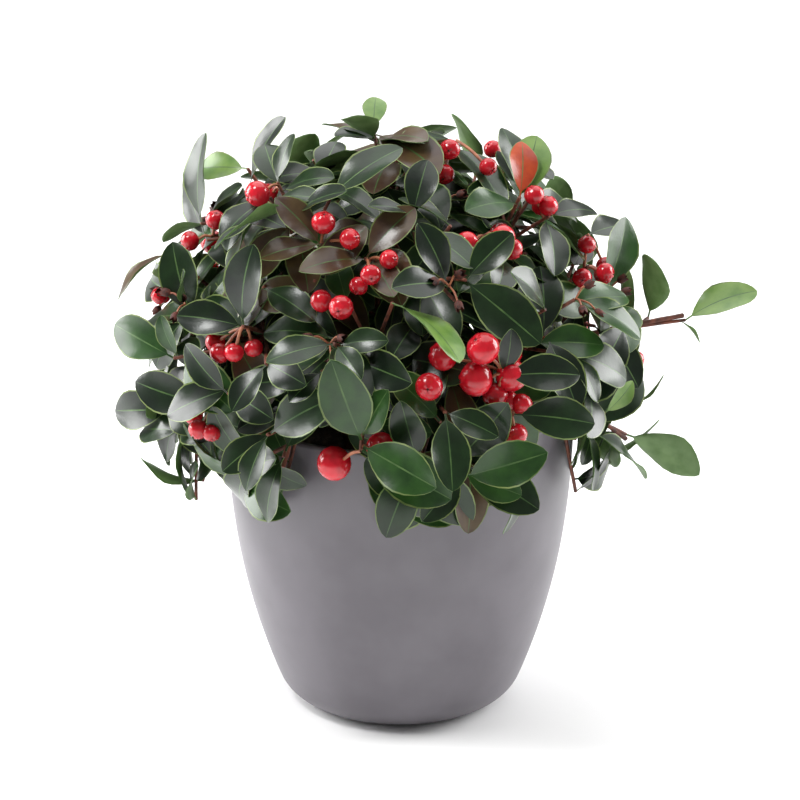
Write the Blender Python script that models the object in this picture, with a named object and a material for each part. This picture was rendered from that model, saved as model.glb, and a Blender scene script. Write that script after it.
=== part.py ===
"""Wintergreen in a pot: a low evergreen shrub with glossy leaves and large red berries.

The shrub is a dome of foliage over a round pot. Thin stems rise from the soil and fan out.
Each ends under a mass of foliage, whose own short stem branches into shoots. A shoot ends
in a whorl of leaves, and berries hang from stalks beside it.

Lengths are in millimetres until a mesh is made: x to the right, y to the back, z up, from
the middle of the pot's flat underside. Places on the dome are given by turn, in degrees to
the right of the front, tilt, in degrees above the dome's middle, and depth under its outline.
"""

from collections import namedtuple
from math import cos, pi, radians, sin, sqrt
from random import Random

import bmesh
import bpy
from mathutils import Matrix, Vector
from mathutils.bvhtree import BVHTree

MM = 0.001  # metres in a millimetre
GAP = 0.3  # between neighbouring solids
FLAT = 4.0  # faces that meet at less than this many degrees become one
UP = Vector((0, 0, 1))

# Pot: a turned cup, rounder towards its foot
POT_HEIGHT = 123.0
POT_RADIUS = 67.5  # at the rim
POT_FOOT_RADIUS = 43.5  # where the wall would meet the ground
POT_CORNER = 10.0  # rounding between the wall and the flat underside
POT_CURVE = 2.35  # power of the wall's curve
POT_WALL = 3.2
POT_FLOOR = 4.0
POT_SIDES = 32
POT_LIP_END = 13  # points of the pot's outline before its inner wall
SOIL_HEIGHT = 108.0  # at its edge
SOIL_CROWN = 3.0  # its middle stands this much higher

# Crown: the dome that the leaf tips reach
CROWN_MIDDLE = Vector((-4.0, 0.0, 132.0))
CROWN_REACH = 100.0
CROWN_RISE = 104.0
BARE_RIM = ((-27, -9), (36, 60))  # turns where the pot's rim shows between the leaves
LOWEST_TIP = 92.0  # no leaf by rule hangs lower than this
MASS_SPACE = 60.0  # a mass keeps within this distance of its middle
SPRAY_SPACE = 75.0

# Stems, from the soil to their masses
STEM_SIDES = 5
STEM_FLARE = 2.3  # radius at the foot
STEM_RADIUS = 1.5
STEM_TIP_RADIUS = 1.15

# Twigs, leaves and berries
TWIG_RADIUS = 1.0
TWIG_TIP_RADIUS = 0.85
LEAF_LENGTH = (24.0, 33.0)
LEAF_ROOT = 0.35  # half width of the leaf's stalk
# Sections of a leaf: where along it, half width for its width, and depth of the keel
FINE_LEAF = ((0, 0, 0.6), (0.40, 0.47, 0.7), (0.76, 0.45, 0.55))
PLAIN_LEAF = ((0, 0, 0.6), (0.58, 0.51, 0.7))
LEAF_ARCH = 0.07  # rise of the blade's middle, for its length
LEAF_SLENDER = 0.47  # width for its length
LEAF_FIRST = 0.6  # how far under its shoot's tip the first leaf is rooted
LEAF_SPACING = 1.9
BLADE_START = 0.25  # from here on a leaf keeps clear of its own neighbours
BERRY_STALK = 0.6
STALK_REACH = 13.0
BERRY_SIDES = 5
GOLDEN = 137.5  # degrees between one leaf and the next round a shoot
SEED = 5
# Turns and lifts tried in their order for a leaf that shows
TRIES = sorted(
    [(swing, raised) for swing in range(-32, 33, 8) for raised in range(-24, 37, 12)],
    key=lambda t: abs(t[0]) + abs(t[1]),
)

GREEN, BARK, RED = "wintergreen_leaf", "twig_bark", "berry_skin"

# Rings of foliage masses. tilt and depth place the end of a mass's own stem, and root_tilt
# and root_depth place its beginning, where the stem from the soil ends.
Ring = namedtuple("Ring", "name count turn tilt depth root_tilt root_depth foot shoots spread")
RINGS = (
    Ring("top", 1, 0, 90, 30, 90, 56, 0, 4, 20),
    Ring("upper", 6, 14, 48, 26, 52, 54, 11, 3, 17),
    Ring("middle", 8, -6, 17, 24, 24, 52, 24, 3, 15),
    Ring("rim", 8, 16, -9, 19, 9, 47, 38, 2, 13),
)

# Two shoots that stand out of the dome on the right: name, places of the mass's root and
# tip as turn, tilt and depth, and how far from the pot's axis their stem starts
OUTLIERS = (
    ("spray_high", (75, 15, 34), (88, 12, -15), 31),
    ("spray_low", (75, -2, 30), (88, -15, 5), 46),
)
# The leaves of those two: name, place of their root, and heading, lift, length and roll
SPRAY_WHORLS = (
    ("spray_high", 88, 13, -2, ((-18, 14, 30, 30),)),
    ("spray_high", 88, 11, -16, ((45, 75, 30, -30), (220, 30, 12, 0))),
    ("spray_low", 88, -14, 5, ((190, 75, 33, -60),)),
    ("spray_low", 86, -6, 4, ((20, 35, 16, 20),)),
)

# Whorls that show from the front: name, turn, tilt, depth, then each leaf's heading,
# clockwise from straight up the dome, its lift out of the dome, its length and its roll.
WHORLS = (
    ("left tall pair", -97, 37, 8, ((355, 35, 35, 40), (15, -5, 24, 0), (200, 30, 23, 30))),
    ("left yellow", -105, 53, 6, ((195, 30, 24, -50),)),
    ("left long dark", -37, 53, 6, ((200, 25, 37, 45), (75, 20, 26, 0))),
    ("left notched", -93, 28, 3, ((180, 25, 27, 0),)),
    ("left middle", -64, 24, 8, ((40, 35, 20, 0), (85, -10, 30, 0))),
    ("near black", -38, 24, 6, ((10, 25, 32, 0), (265, 25, 26, 0))),
    ("left gloss", -61, 12, 6, ((280, 25, 31, 0), (340, 30, 17, 0), (110, -10, 34, 0))),
    ("left low", -69, -1, 10, ((105, -10, 21, 0), (30, 15, 20, 0))),
    ("gloss pair", -29, 17, 5, ((200, 25, 21, 0), (100, 25, 23, 0))),
    ("gloss arch", -13, 23, 4, ((250, 25, 25, 0), (135, 25, 19, 0), (80, 25, 19, 0))),
    ("round middle", -16, 17, 8, ((215, 30, 17, 0),)),
    ("left rim", -28, 2, 6, ((195, 20, 22, 0), (55, 15, 32, 0), (225, 25, 23, 0))),
    ("front rim", -6, 1, 4, ((150, 25, 37, 0), (110, 25, 33, 0), (345, 25, 36, 0), (25, 25, 23, 0))),
    ("front small", -3, 15, 6, ((220, 25, 16, 0),)),
    ("right rim", 16, -5, 2, ((65, 25, 32, 0), (110, 20, 23, 0), (230, 25, 24, 0))),
    ("striped", 12, 9, 2, ((190, 25, 29, 0), (115, 25, 21, 0))),
    ("edge on", 1, 32, 4, ((135, 25, 38, -60),)),
    ("silver arch", 16, 35, 4, ((265, 25, 26, 0), (335, 25, 25, 0))),
    ("centre green", 21, 36, 4, ((55, 20, 24, 0), (140, 25, 36, 30))),
    ("top left", -62, 59, 8, ((340, 25, 20, 0), (295, 25, 24, 0), (55, 5, 25, 0))),
    ("top arch", -24, 57, 5, ((40, 30, 32, 0), (280, 5, 20, 0))),
    ("top", -70, 86, 6, ((295, 25, 18, 0), (70, -15, 38, 0), (135, 30, 26, 0), (65, 15, 28, 0))),
    ("top right", 91, 74, 8, ((325, -5, 26, 0), (230, -15, 36, 0))),
    ("red leaf", 59, 53, 6, ((40, 25, 23, 0), (55, 25, 29, 0), (285, -5, 27, 0))),
    ("right dark", 67, 46, 7, ((115, 25, 23, 0), (225, -5, 27, 0))),
    ("right high", 96, 34, 8, ((125, 35, 26, 0), (270, -25, 20, 0))),
    ("right large", 54, 27, 5, ((145, 25, 29, 0), (105, 25, 27, 0))),
    ("centre right", 43, 27, 6, ((310, 20, 26, 0), (285, 15, 28, 0))),
    ("right front", 26, 15, 3, ((95, 20, 28, 0), (5, 25, 18, 0))),
    ("right lower", 28, 7, 3, ((100, 25, 30, 0),)),
    ("right side", 48, 16, 6, ((180, 25, 20, 0), (120, 25, 31, 0))),
    ("right small", 59, 0, 6, ((40, 25, 16, 0),)),
    ("shiny middle", 9, 55, 8, ((265, 20, 18, 0), (20, 15, 24, 0))),
    ("middle dark", -8, 44, 12, ((40, 20, 26, 0), (250, 20, 26, 0), (150, 20, 24, 0))),
    ("middle brown", -24, 47, 12, ((230, 20, 24, 0), (330, 15, 24, 0))),
)

# Berries that show from the front: name, turn, tilt and depth of the place they hang from,
# how many, and the radius of the largest
CLUSTERS = (
    ("front right", 24, 20, 9, 5, 6.4),
    ("front right low", 29, 5, 8, 2, 4.4),
    ("front middle", 11, 15, 8, 1, 5.4),
    ("front rim", -9, 1, 6, 1, 6.2),
    ("middle high", -18, 49, 7, 2, 4.4),
    ("middle left", -12, 34, 7, 2, 4.4),
    ("middle", -2, 38, 7, 3, 4.0),
    ("left high", -60, 57, 8, 2, 5.0),
    ("left side", -84, 38, 9, 2, 4.0),
    ("left lower", -44, 20, 9, 3, 4.2),
    ("left edge", -88, 22, 8, 1, 3.6),
    ("left rim", -48, 2, 8, 2, 4.2),
    ("left low edge", -66, 5, 8, 1, 4.0),
    ("top right", 70, 72, 10, 3, 4.2),
    ("right top", 68, 51, 7, 2, 4.3),
    ("centre right", 38, 48, 8, 3, 4.9),
    ("right", 76, 31, 7, 3, 4.0),
    ("right edge", 86, 7, 7, 1, 3.8),
)
BACK_CLUSTERS = 3

Leaf = namedtuple("Leaf", "root tip face width sections")
Berry = namedtuple("Berry", "middle radius hook")
Twig = namedtuple("Twig", "points radius tip_radius heading", defaults=(None,))


# Places on the crown


def outward_at(turn, tilt):
    """Direction out of the dome at a turn and tilt in degrees."""
    turn = radians(turn)
    tilt = radians(tilt)
    return Vector((cos(tilt) * sin(turn), -cos(tilt) * cos(turn), sin(tilt)))


def on_crown(turn, tilt, depth):
    """Point at a turn and tilt, this deep under the dome's outline."""
    out = outward_at(turn, tilt)
    reach = CROWN_REACH - depth
    return CROWN_MIDDLE + Vector((out.x * reach, out.y * reach, out.z * (CROWN_RISE - depth)))


def turn_of(point):
    """Turn in degrees of a point seen from the pot's axis."""
    return Vector((0, -1)).angle_signed(Vector((point.x, point.y)), 0) * -180 / pi


def bend(start, heading, end, steps):
    """Points on a curve that leaves start along heading and reaches end."""
    knee = start + heading * (end - start).length * 0.45
    parts = [i / steps for i in range(steps + 1)]
    return [start.lerp(knee, t).lerp(knee.lerp(end, t), t) for t in parts]


# Solids: a list of points and a list of triangles


def skin(rings):
    """Closed solid through rings of points. A ring of one point ends it in a tip."""
    points = [point for ring in rings for point in ring]
    starts = [sum(len(ring) for ring in rings[:i]) for i in range(len(rings))]
    faces = []
    for ring, after, a, b in zip(rings, rings[1:], starts, starts[1:]):
        sides = max(len(ring), len(after))
        for i in range(sides):
            j = (i + 1) % sides
            if len(ring) > 1:
                faces.append((a + i, a + j, b + (j if len(after) > 1 else 0)))
            if len(after) > 1:
                faces.append((a + (i if len(ring) > 1 else 0), b + j, b + i))
    for ring, start in ((rings[0], starts[0]), (rings[-1], starts[-1])):
        fan = [(start, start + i + 1, start + i) for i in range(1, len(ring) - 1)]
        faces += fan if ring is rings[0] else [face[::-1] for face in fan]
    if volume(points, faces) < 0:
        faces = [face[::-1] for face in faces]
    return points, faces


def volume(points, faces):
    """Six times the volume, which is negative where the faces point inwards."""
    middle = points[0]
    corners = ((points[a] - middle, points[b] - middle, points[c] - middle) for a, b, c in faces)
    return sum(a.dot(b.cross(c)) for a, b, c in corners)


def tube(points, radii, sides, first=None, last=None):
    """Solid round a path, with a radius at each point. Its ends face along first and last."""
    headings = [(b - a).normalized() for a, b in zip(points, points[2:])]
    headings.insert(0, first or (points[1] - points[0]).normalized())
    headings.append(last or (points[-1] - points[-2]).normalized())
    side = headings[0].orthogonal().normalized()
    rings = []
    for point, radius, heading in zip(points, radii, headings):
        side = (side - heading * side.dot(heading)).normalized()
        across = heading.cross(side)
        angles = [2 * pi * k / sides for k in range(sides)]
        rings.append([point + (side * cos(a) + across * sin(a)) * radius for a in angles])
    return skin(rings)


def twig_solid(twig, spare=0.0, sides=3):
    """Tapering twig, or with spare the room that it needs."""
    last = len(twig.points) - 1
    taper = twig.tip_radius - twig.radius
    radii = [twig.radius + taper * i / last + spare for i in range(last + 1)]
    return tube(twig.points, radii, sides, twig.heading)


def leaf_sections(leaf, start):
    """Place, half width and depth of a leaf's sections, from a part of its length on."""
    sections = [(part, half * leaf.width or LEAF_ROOT, keel) for part, half, keel in leaf.sections]
    first, second = sections[:2]
    if start:
        half = first[1] + (second[1] - first[1]) * start / second[0]
        sections[0] = (start, half, first[2])
    return sections


def leaf_solid(leaf, start=0.0):
    """Thin blade on three-cornered sections, flat above with a keel below."""
    chord = leaf.tip - leaf.root
    side = chord.cross(leaf.face).normalized()
    rings = []
    for part, half, keel in leaf_sections(leaf, start):
        rise = 4 * LEAF_ARCH * chord.length * part * (1 - part)
        middle = leaf.root + chord * part + leaf.face * rise
        rings.append([middle - side * half, middle + side * half, middle - leaf.face * keel])
    return skin(rings + [[leaf.tip]])


def leaf_room(leaf, spare, start=0.0):
    """Box-like space round a leaf that nothing else may enter."""
    chord = leaf.tip - leaf.root
    side = chord.cross(leaf.face).normalized()
    rings = []
    for part, half, keel in leaf_sections(leaf, start) + [(1 + spare / chord.length, 0, 0)]:
        rise = 4 * LEAF_ARCH * chord.length * part * (1 - part)
        middle = leaf.root + chord * part + leaf.face * (rise + spare)
        wide = side * (half + spare)
        low = leaf.face * (keel + 2 * spare)
        rings.append([middle - wide, middle + wide, middle + wide - low, middle - wide - low])
    return skin(rings)


def berry_solid(berry, spare=0.0, stalk=True):
    """Round berry under a thin stalk."""
    axis = (berry.hook - berry.middle).normalized()
    radius = berry.radius + spare
    belts = [(radius * sin(tilt), radius * cos(tilt)) for tilt in (pi / 4, 0, -pi / 4)]
    if stalk:
        belts = [((berry.hook - berry.middle).length, BERRY_STALK), (radius, BERRY_STALK)] + belts
    else:
        belts = [(radius, 0)] + belts
    side = axis.orthogonal().normalized()
    across = axis.cross(side)
    rings = []
    for height, wide in belts + [(-radius, 0)]:
        angles = [2 * pi * k / BERRY_SIDES for k in range(BERRY_SIDES if wide else 1)]
        middle = berry.middle + axis * height
        rings.append([middle + (side * cos(a) + across * sin(a)) * wide for a in angles])
    return skin(rings)


# Room: what is already in place, and whether something new fits


class Placed:
    """Solids already in place, each with its owner and the part that its own mass avoids."""

    def __init__(self):
        self.items = []

    def add(self, owner, solid, blade=None):
        """Keeps a solid, and optionally only part of it for its own mass."""
        points = solid[0]
        middle = sum(points, Vector()) / len(points)
        reach = max((point - middle).length for point in points)
        tree = BVHTree.FromPolygons(*solid)
        own = BVHTree.FromPolygons(*blade) if blade else tree
        self.items.append((owner, middle, reach, tree, own))

    def fits(self, mass, room, own_room, touching=None):
        """Whether nothing is in the way but the piece that it grows from."""
        points = room[0]
        middle = sum(points, Vector()) / len(points)
        reach = max((point - middle).length for point in points)
        tree = BVHTree.FromPolygons(*room)
        own_tree = BVHTree.FromPolygons(*own_room)
        for owner, other_middle, other_reach, other_tree, other_own in self.items:
            if (middle - other_middle).length > reach + other_reach or owner == touching:
                continue
            if owner[0] == mass:
                if own_tree.overlap(other_own):
                    return False
            elif tree.overlap(other_tree):
                return False
        return True


class Mass:
    """One mass of foliage: its stem, and the shoots, leaves and berries that it carries."""

    def __init__(self, name, root, heading, tip, space):
        self.name = name
        self.heading = heading
        self.stem = Twig(bend(root, heading, tip, 3), STEM_TIP_RADIUS, TWIG_RADIUS, heading)
        self.middle = (root + tip * 3) / 4
        self.space = space
        self.twigs = [self.stem]
        self.leaves = []
        self.berries = []
        self.shoots = 0
        self.owners = []

    def holds(self, points):
        """Whether points are inside the mass's own space."""
        return all((point - self.middle).length < self.space for point in points)


def over_bare_rim(points):
    """Whether a point hides the stretch of the pot's rim that shows."""
    low = [p for p in points if p.z < POT_HEIGHT + 9 and p.y < 0 and p.xy.length > POT_RADIUS - 14]
    return any(a < turn_of(p) < b for p in low for a, b in BARE_RIM)


def on_stem(stem, part):
    """Point at a part of a stem's length, and the stem's direction there."""
    last = len(stem.points) - 1
    i = min(int(part * last), last - 1)
    start, end = stem.points[i : i + 2]
    return start.lerp(end, part * last - i), (end - start).normalized()


def add_shoot(mass, place, placed, key):
    """Grows a shoot from the mass's stem to a place, and gives its owner name."""
    owner = (mass.name, "shoot", key)
    mass.shoots += 1
    for attempt in range(4):
        start, heading = on_stem(mass.stem, 0.3 + 0.65 * ((mass.shoots + attempt * 0.37) * 0.618 % 1))
        points = [start, place]
        twig = Twig(points, TWIG_RADIUS, TWIG_TIP_RADIUS)
        room = twig_solid(twig, 0.5, 6)
        outer = twig_solid(Twig([start.lerp(place, 0.5), place], TWIG_RADIUS, TWIG_TIP_RADIUS))
        if mass.holds(points) and placed.fits(mass.name, room, outer, (mass.name, "stem")):
            mass.twigs.append(twig)
            mass.owners.append(owner)
            placed.add(owner, twig_solid(twig), outer)
            return owner
    return None


def add_leaf(mass, root, along, length, face, placed, shoot, sections):
    """Adds one leaf if it fits, and says whether it did."""
    face = (face - along * face.dot(along)).normalized()
    leaf = Leaf(root, root + along * length, face, length * LEAF_SLENDER, sections)
    room = leaf_room(leaf, 0.4)
    low = leaf.tip.z < LOWEST_TIP or over_bare_rim(room[0])
    if not mass.holds([leaf.tip]) or (sections == PLAIN_LEAF and low):
        return False
    if not placed.fits(mass.name, room, leaf_room(leaf, 0.1, BLADE_START), shoot):
        return False
    mass.leaves.append(leaf)
    placed.add((mass.name, "leaf"), leaf_solid(leaf), leaf_solid(leaf, BLADE_START))
    return True


def root_on(twig, i):
    """Where a shoot's leaf number i is rooted, counted down from its tip."""
    down = (twig.points[-2] - twig.points[-1]).normalized()
    return twig.points[-1] + down * (LEAF_FIRST + LEAF_SPACING * i)


def headed(out, heading, lift):
    """Direction at a heading round out, clockwise from up, and a lift towards it."""
    right = Vector((-out.y, out.x, 0))
    right = right.normalized() if right.length > 0.01 else Vector((1, 0, 0))
    rise = out.cross(right)
    flat = rise * cos(radians(heading)) + right * sin(radians(heading))
    return flat * cos(radians(lift)) + out * sin(radians(lift))


def whorl_by_hand(mass, whorl, placed):
    """A shoot with the leaves that show in one whorl."""
    name, turn, tilt, depth, leaves = whorl
    out = outward_at(turn, tilt)
    shoot = add_shoot(mass, on_crown(turn, tilt, depth), placed, (name, depth))
    if shoot is None:
        return
    for i, (heading, lift, length, roll) in enumerate(leaves):
        root = root_on(mass.twigs[-1], i)
        for swing, raised in TRIES:
            along = headed(out, heading + swing, lift + raised)
            face = Matrix.Rotation(radians(roll), 3, along) @ (out + UP * 0.4)
            if add_leaf(mass, root, along, length, face, placed, shoot, FINE_LEAF):
                break


def whorl_by_rule(mass, turn, tilt, depth, key, placed, chance):
    """A shoot with leaves spread round it by the golden angle."""
    place = on_crown(turn, tilt, depth)
    shoot = add_shoot(mass, place, placed, key)
    if shoot is None:
        return
    before = len(mass.leaves)
    leaves_by_rule(mass, mass.twigs[-1], outward_at(turn, tilt), 4, placed, shoot, chance)
    if len(mass.leaves) == before:
        mass.twigs.pop()
        mass.owners.pop()
        placed.items = [item for item in placed.items if item[0] != shoot]


def leaves_by_rule(mass, twig, out, count, placed, shoot, chance):
    """Leaves round a twig's tip, each turned by the golden angle from the one before."""
    heading = chance.uniform(0, 360)
    for i in range(count):
        heading += GOLDEN
        root = root_on(twig, i)
        length = chance.uniform(*LEAF_LENGTH)
        lift = chance.uniform(0, 45) - 8 * i
        roll = chance.uniform(-30, 30)
        for attempt in range(6):
            along = headed(out, heading + 14 * attempt, lift - 6 * attempt)
            along = (along - UP * 0.15).normalized()
            face = Matrix.Rotation(radians(roll), 3, along) @ (out + UP * 0.5)
            if add_leaf(mass, root, along, length - attempt, face, placed, shoot, PLAIN_LEAF):
                break


def nearest_shoot(mass, place):
    """The shoot whose tip is nearest to a place and close enough to hang berries from."""
    near = [(twig.points[-1] - place).length for twig in mass.twigs[1:]]
    if not near or min(near) > STALK_REACH:
        return None, None
    i = near.index(min(near))
    return mass.twigs[i + 1], mass.owners[i]


def add_berries(mass, turn, tilt, depth, count, radius, key, placed, chance):
    """A shoot with berries that hang round its tip on short stalks."""
    out = outward_at(turn, tilt)
    place = on_crown(turn, tilt, depth + 3)
    twig, shoot = nearest_shoot(mass, place)
    if twig is None:
        shoot = add_shoot(mass, place, placed, ("berries", key))
        twig = mass.twigs[-1]
    if shoot is None:
        return
    made = 0
    for i in range(count * 12):
        if made == count:
            break
        size = radius * (1 - 0.12 * made / count) * chance.uniform(0.9, 1)
        along = headed(out, 180 + GOLDEN * i, 70 - 11 * i % 80)
        along = (along - UP * 0.5).normalized()
        middle = place + along * (size + 3 + 0.4 * i)
        berry = Berry(middle, size, root_on(twig, 0.5 + made * 0.6))
        room = berry_solid(berry, 0.5)
        if not mass.holds([middle]) or over_bare_rim(room[0]):
            continue
        if not placed.fits(mass.name, room, berry_solid(berry, 0.25, stalk=False), shoot):
            continue
        mass.berries.append(berry)
        placed.add((mass.name, "berry"), berry_solid(berry), berry_solid(berry, stalk=False))
        made += 1


# Layout of the whole shrub


def make_masses():
    """The foliage masses with their stems, and where the stem below each one begins."""
    masses = []
    feet = []
    for ring in RINGS:
        for i in range(ring.count):
            turn = ring.turn + 360 * i / ring.count
            name = ring.name if ring.count == 1 else f"{ring.name}_{i + 1}"
            root = on_crown(turn, ring.root_tilt, ring.root_depth)
            heading = (outward_at(turn, ring.root_tilt) + UP * 0.6).normalized()
            tip = on_crown(turn, ring.tilt, ring.depth)
            masses.append(Mass(name, root, heading, tip, MASS_SPACE))
            feet.append(outward_at(turn, 0) * ring.foot)
    for name, root_place, tip_place, foot in OUTLIERS:
        root = on_crown(*root_place)
        tip = on_crown(*tip_place)
        masses.append(Mass(name, root, (tip - root).normalized(), tip, SPRAY_SPACE))
        feet.append(outward_at(root_place[0], 0) * foot)
    return masses, feet


def stem_path(mass, foot):
    """Points of the stem from the soil to just short of a mass."""
    height = SOIL_HEIGHT + SOIL_CROWN + GAP
    start = Vector((foot.x, foot.y, height))
    end = mass.stem.points[0] - mass.heading * GAP
    path = bend(end, -mass.heading, start, 4)[::-1]
    path[0].z = height
    return path


def nearest(masses, point):
    """The mass whose middle is nearest to a point."""
    return min(masses, key=lambda mass: (mass.middle - point).length)


def grow(masses, placed):
    """Fills the masses with the whorls and berries that show, then with the rest by rule."""
    chance = Random(SEED)
    dome = masses[: -len(OUTLIERS)]
    for whorl in SPRAY_WHORLS:
        mass = next(mass for mass in masses if mass.name == whorl[0])
        whorl_by_hand(mass, whorl, placed)
    for whorl in WHORLS:
        mass = nearest(dome, on_crown(*whorl[1:4]))
        whorl_by_hand(mass, whorl, placed)
    for name, turn, tilt, depth, count, radius in CLUSTERS:
        mass = nearest(dome, on_crown(turn, tilt, depth))
        add_berries(mass, turn, tilt, depth, count, radius, name, placed, chance)
    for i in range(BACK_CLUSTERS):
        turn = 100 + 160 * (i + 0.5) / BACK_CLUSTERS
        tilt = 5 + 60 * (i * 0.618 % 1)
        mass = nearest(dome, on_crown(turn, tilt, 12))
        add_berries(mass, turn, tilt, 8, 1 + i % 3, 5.0, i, placed, chance)
    for k in range(max(ring.shoots for ring in RINGS)):
        first = 0
        for ring in RINGS:
            for i, mass in enumerate(dome[first : first + ring.count]):
                if k < ring.shoots:
                    shoot_by_rule(mass, ring, i, k, placed, chance)
            first += ring.count


def shoot_by_rule(mass, ring, i, k, placed, chance):
    """Shoot number k of a ring's mass number i, spread round the mass like seeds in a head."""
    spin = radians(GOLDEN * k + chance.uniform(0, 60))
    reach = ring.spread * sqrt((k + 0.5) / ring.shoots)
    tilt = ring.tilt + reach * sin(spin)
    turn = ring.turn + 360 * i / ring.count + reach * cos(spin) / max(cos(radians(tilt)), 0.25)
    whorl_by_rule(mass, turn, tilt, chance.uniform(7, 17), k, placed, chance)


# Turned pieces


def turned(profile, sides):
    """Rings of a turned piece, from pairs of radius and height."""
    rings = []
    for radius, height in profile:
        angles = [2 * pi * k / sides for k in range(sides if radius else 1)]
        rings.append([Vector((radius * cos(a), radius * sin(a), height)) for a in angles])
    return skin(rings)


def pot_wall(height):
    """Outer radius of the pot at a height."""
    wall = POT_RADIUS - (POT_RADIUS - POT_FOOT_RADIUS) * (1 - height / POT_HEIGHT) ** POT_CURVE
    under = max(1 - height / POT_CORNER, 0)
    return wall - POT_CORNER * (1 - sqrt(1 - under**2))


def pot_heights():
    """Heights of the wall's rings, closer together near the foot."""
    return [POT_HEIGHT * (i / 9) ** 1.6 for i in range(10)]


def pot_profile():
    """Outline of the pot from its underside, over the rim, to its floor."""
    heights = pot_heights()[:-1] + [POT_HEIGHT - POT_WALL / 2]
    outer = [(pot_wall(z), z) for z in heights]
    lip = POT_WALL / 2
    middle = pot_wall(POT_HEIGHT - lip) - lip
    arc = [radians(a) for a in (45, 90, 135)]
    rim = [(middle + lip * cos(a), POT_HEIGHT - lip + lip * sin(a)) for a in arc]
    inside = sorted([z for z in heights[3::2] if z > POT_FLOOR * 2] + [SOIL_HEIGHT], reverse=True)
    inner = [(pot_wall(z) - POT_WALL, z) for z in inside]
    floor = [(pot_wall(POT_FLOOR * 2) - POT_WALL - 5, POT_FLOOR)]
    return outer + rim + inner + floor


def soil_profile():
    """Outline of the soil, a little clear of the pot."""
    inside = [(r, z) for r, z in pot_profile()[POT_LIP_END:] if z < SOIL_HEIGHT - 2][::-1]
    sides = [(r - GAP * 1.3, z + (GAP if i == 0 else 0)) for i, (r, z) in enumerate(inside)]
    edge = pot_wall(SOIL_HEIGHT) - POT_WALL - GAP * 1.3
    top = [(edge, SOIL_HEIGHT), (edge * 0.8, SOIL_HEIGHT + SOIL_CROWN), (0, SOIL_HEIGHT + SOIL_CROWN)]
    return sides + top


# Blender objects


def material(name, colour, roughness):
    """A material with a plain colour."""
    made = bpy.data.materials.get(name) or bpy.data.materials.new(name)
    made.use_nodes = True
    shader = made.node_tree.nodes["Principled BSDF"]
    shader.inputs["Base Color"].default_value = (*colour, 1)
    shader.inputs["Roughness"].default_value = roughness
    return made


MATERIALS = {
    GREEN: ((0.018, 0.055, 0.018), 0.3),
    BARK: ((0.16, 0.05, 0.03), 0.6),
    RED: ((0.55, 0.01, 0.015), 0.25),
    "pot_glaze": ((0.13, 0.12, 0.135), 0.5),
    "potting_soil": ((0.02, 0.012, 0.008), 0.95),
}


def new_object(name, solid, material_name, smooth=False):
    """Object from a solid in millimetres, with one material."""
    points, faces = solid
    mesh = bpy.data.meshes.new(name)
    mesh.from_pydata([point * MM for point in points], [], faces)
    mesh.materials.append(material(material_name, *MATERIALS[material_name]))
    if smooth:
        mesh.shade_smooth()
        mesh.set_sharp_from_angle(angle=radians(35))
    made = bpy.data.objects.new(name, mesh)
    bpy.context.scene.collection.objects.link(made)
    return made


def one_body(mesh):
    """Keeps the mesh's largest closed body, without loose scraps or sealed hollows."""
    form = bmesh.new()
    form.from_mesh(mesh)
    left = set(form.verts)
    bodies = []
    while left:
        body = [left.pop()]
        for vert in body:
            near = {edge.other_vert(vert) for edge in vert.link_edges} & left
            left -= near
            body.extend(near)
        bodies.append(body)
    bodies.sort(key=len)
    for body in bodies[:-1]:
        bmesh.ops.delete(form, geom=body, context="VERTS")
    bmesh.ops.dissolve_limit(
        form,
        angle_limit=radians(FLAT),
        verts=form.verts,
        edges=form.edges,
        delimit={"MATERIAL"},
    )
    bmesh.ops.triangulate(form, faces=form.faces)
    form.to_mesh(mesh)
    form.free()


def fused(name, pieces):
    """One object that joins pieces, pairs of a solid and its material's name."""
    parts = [new_object(f"{name}_{i}", *piece) for i, piece in enumerate(pieces)]
    body = parts[0]
    rest = bpy.data.collections.new(f"{name}_pieces")
    for part in parts[1:]:
        rest.objects.link(part)
    join = body.modifiers.new("join", "BOOLEAN")
    join.operation = "UNION"
    join.solver = "EXACT"
    join.operand_type = "COLLECTION"
    join.collection = rest
    join.material_mode = "TRANSFER"
    mesh = bpy.data.meshes.new_from_object(body.evaluated_get(bpy.context.evaluated_depsgraph_get()))
    for part in parts:
        bpy.data.objects.remove(part)
    bpy.data.collections.remove(rest)
    mesh.name = name
    one_body(mesh)
    bpy.context.scene.collection.objects.link(bpy.data.objects.new(name, mesh))


def mass_pieces(mass):
    """The solids of a mass, its stem first."""
    twigs = [(twig_solid(twig, sides=4 if twig is mass.stem else 3), BARK) for twig in mass.twigs]
    leaves = [(leaf_solid(leaf), GREEN) for leaf in mass.leaves]
    berries = [(berry_solid(berry), RED) for berry in mass.berries]
    return twigs + leaves + berries


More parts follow.
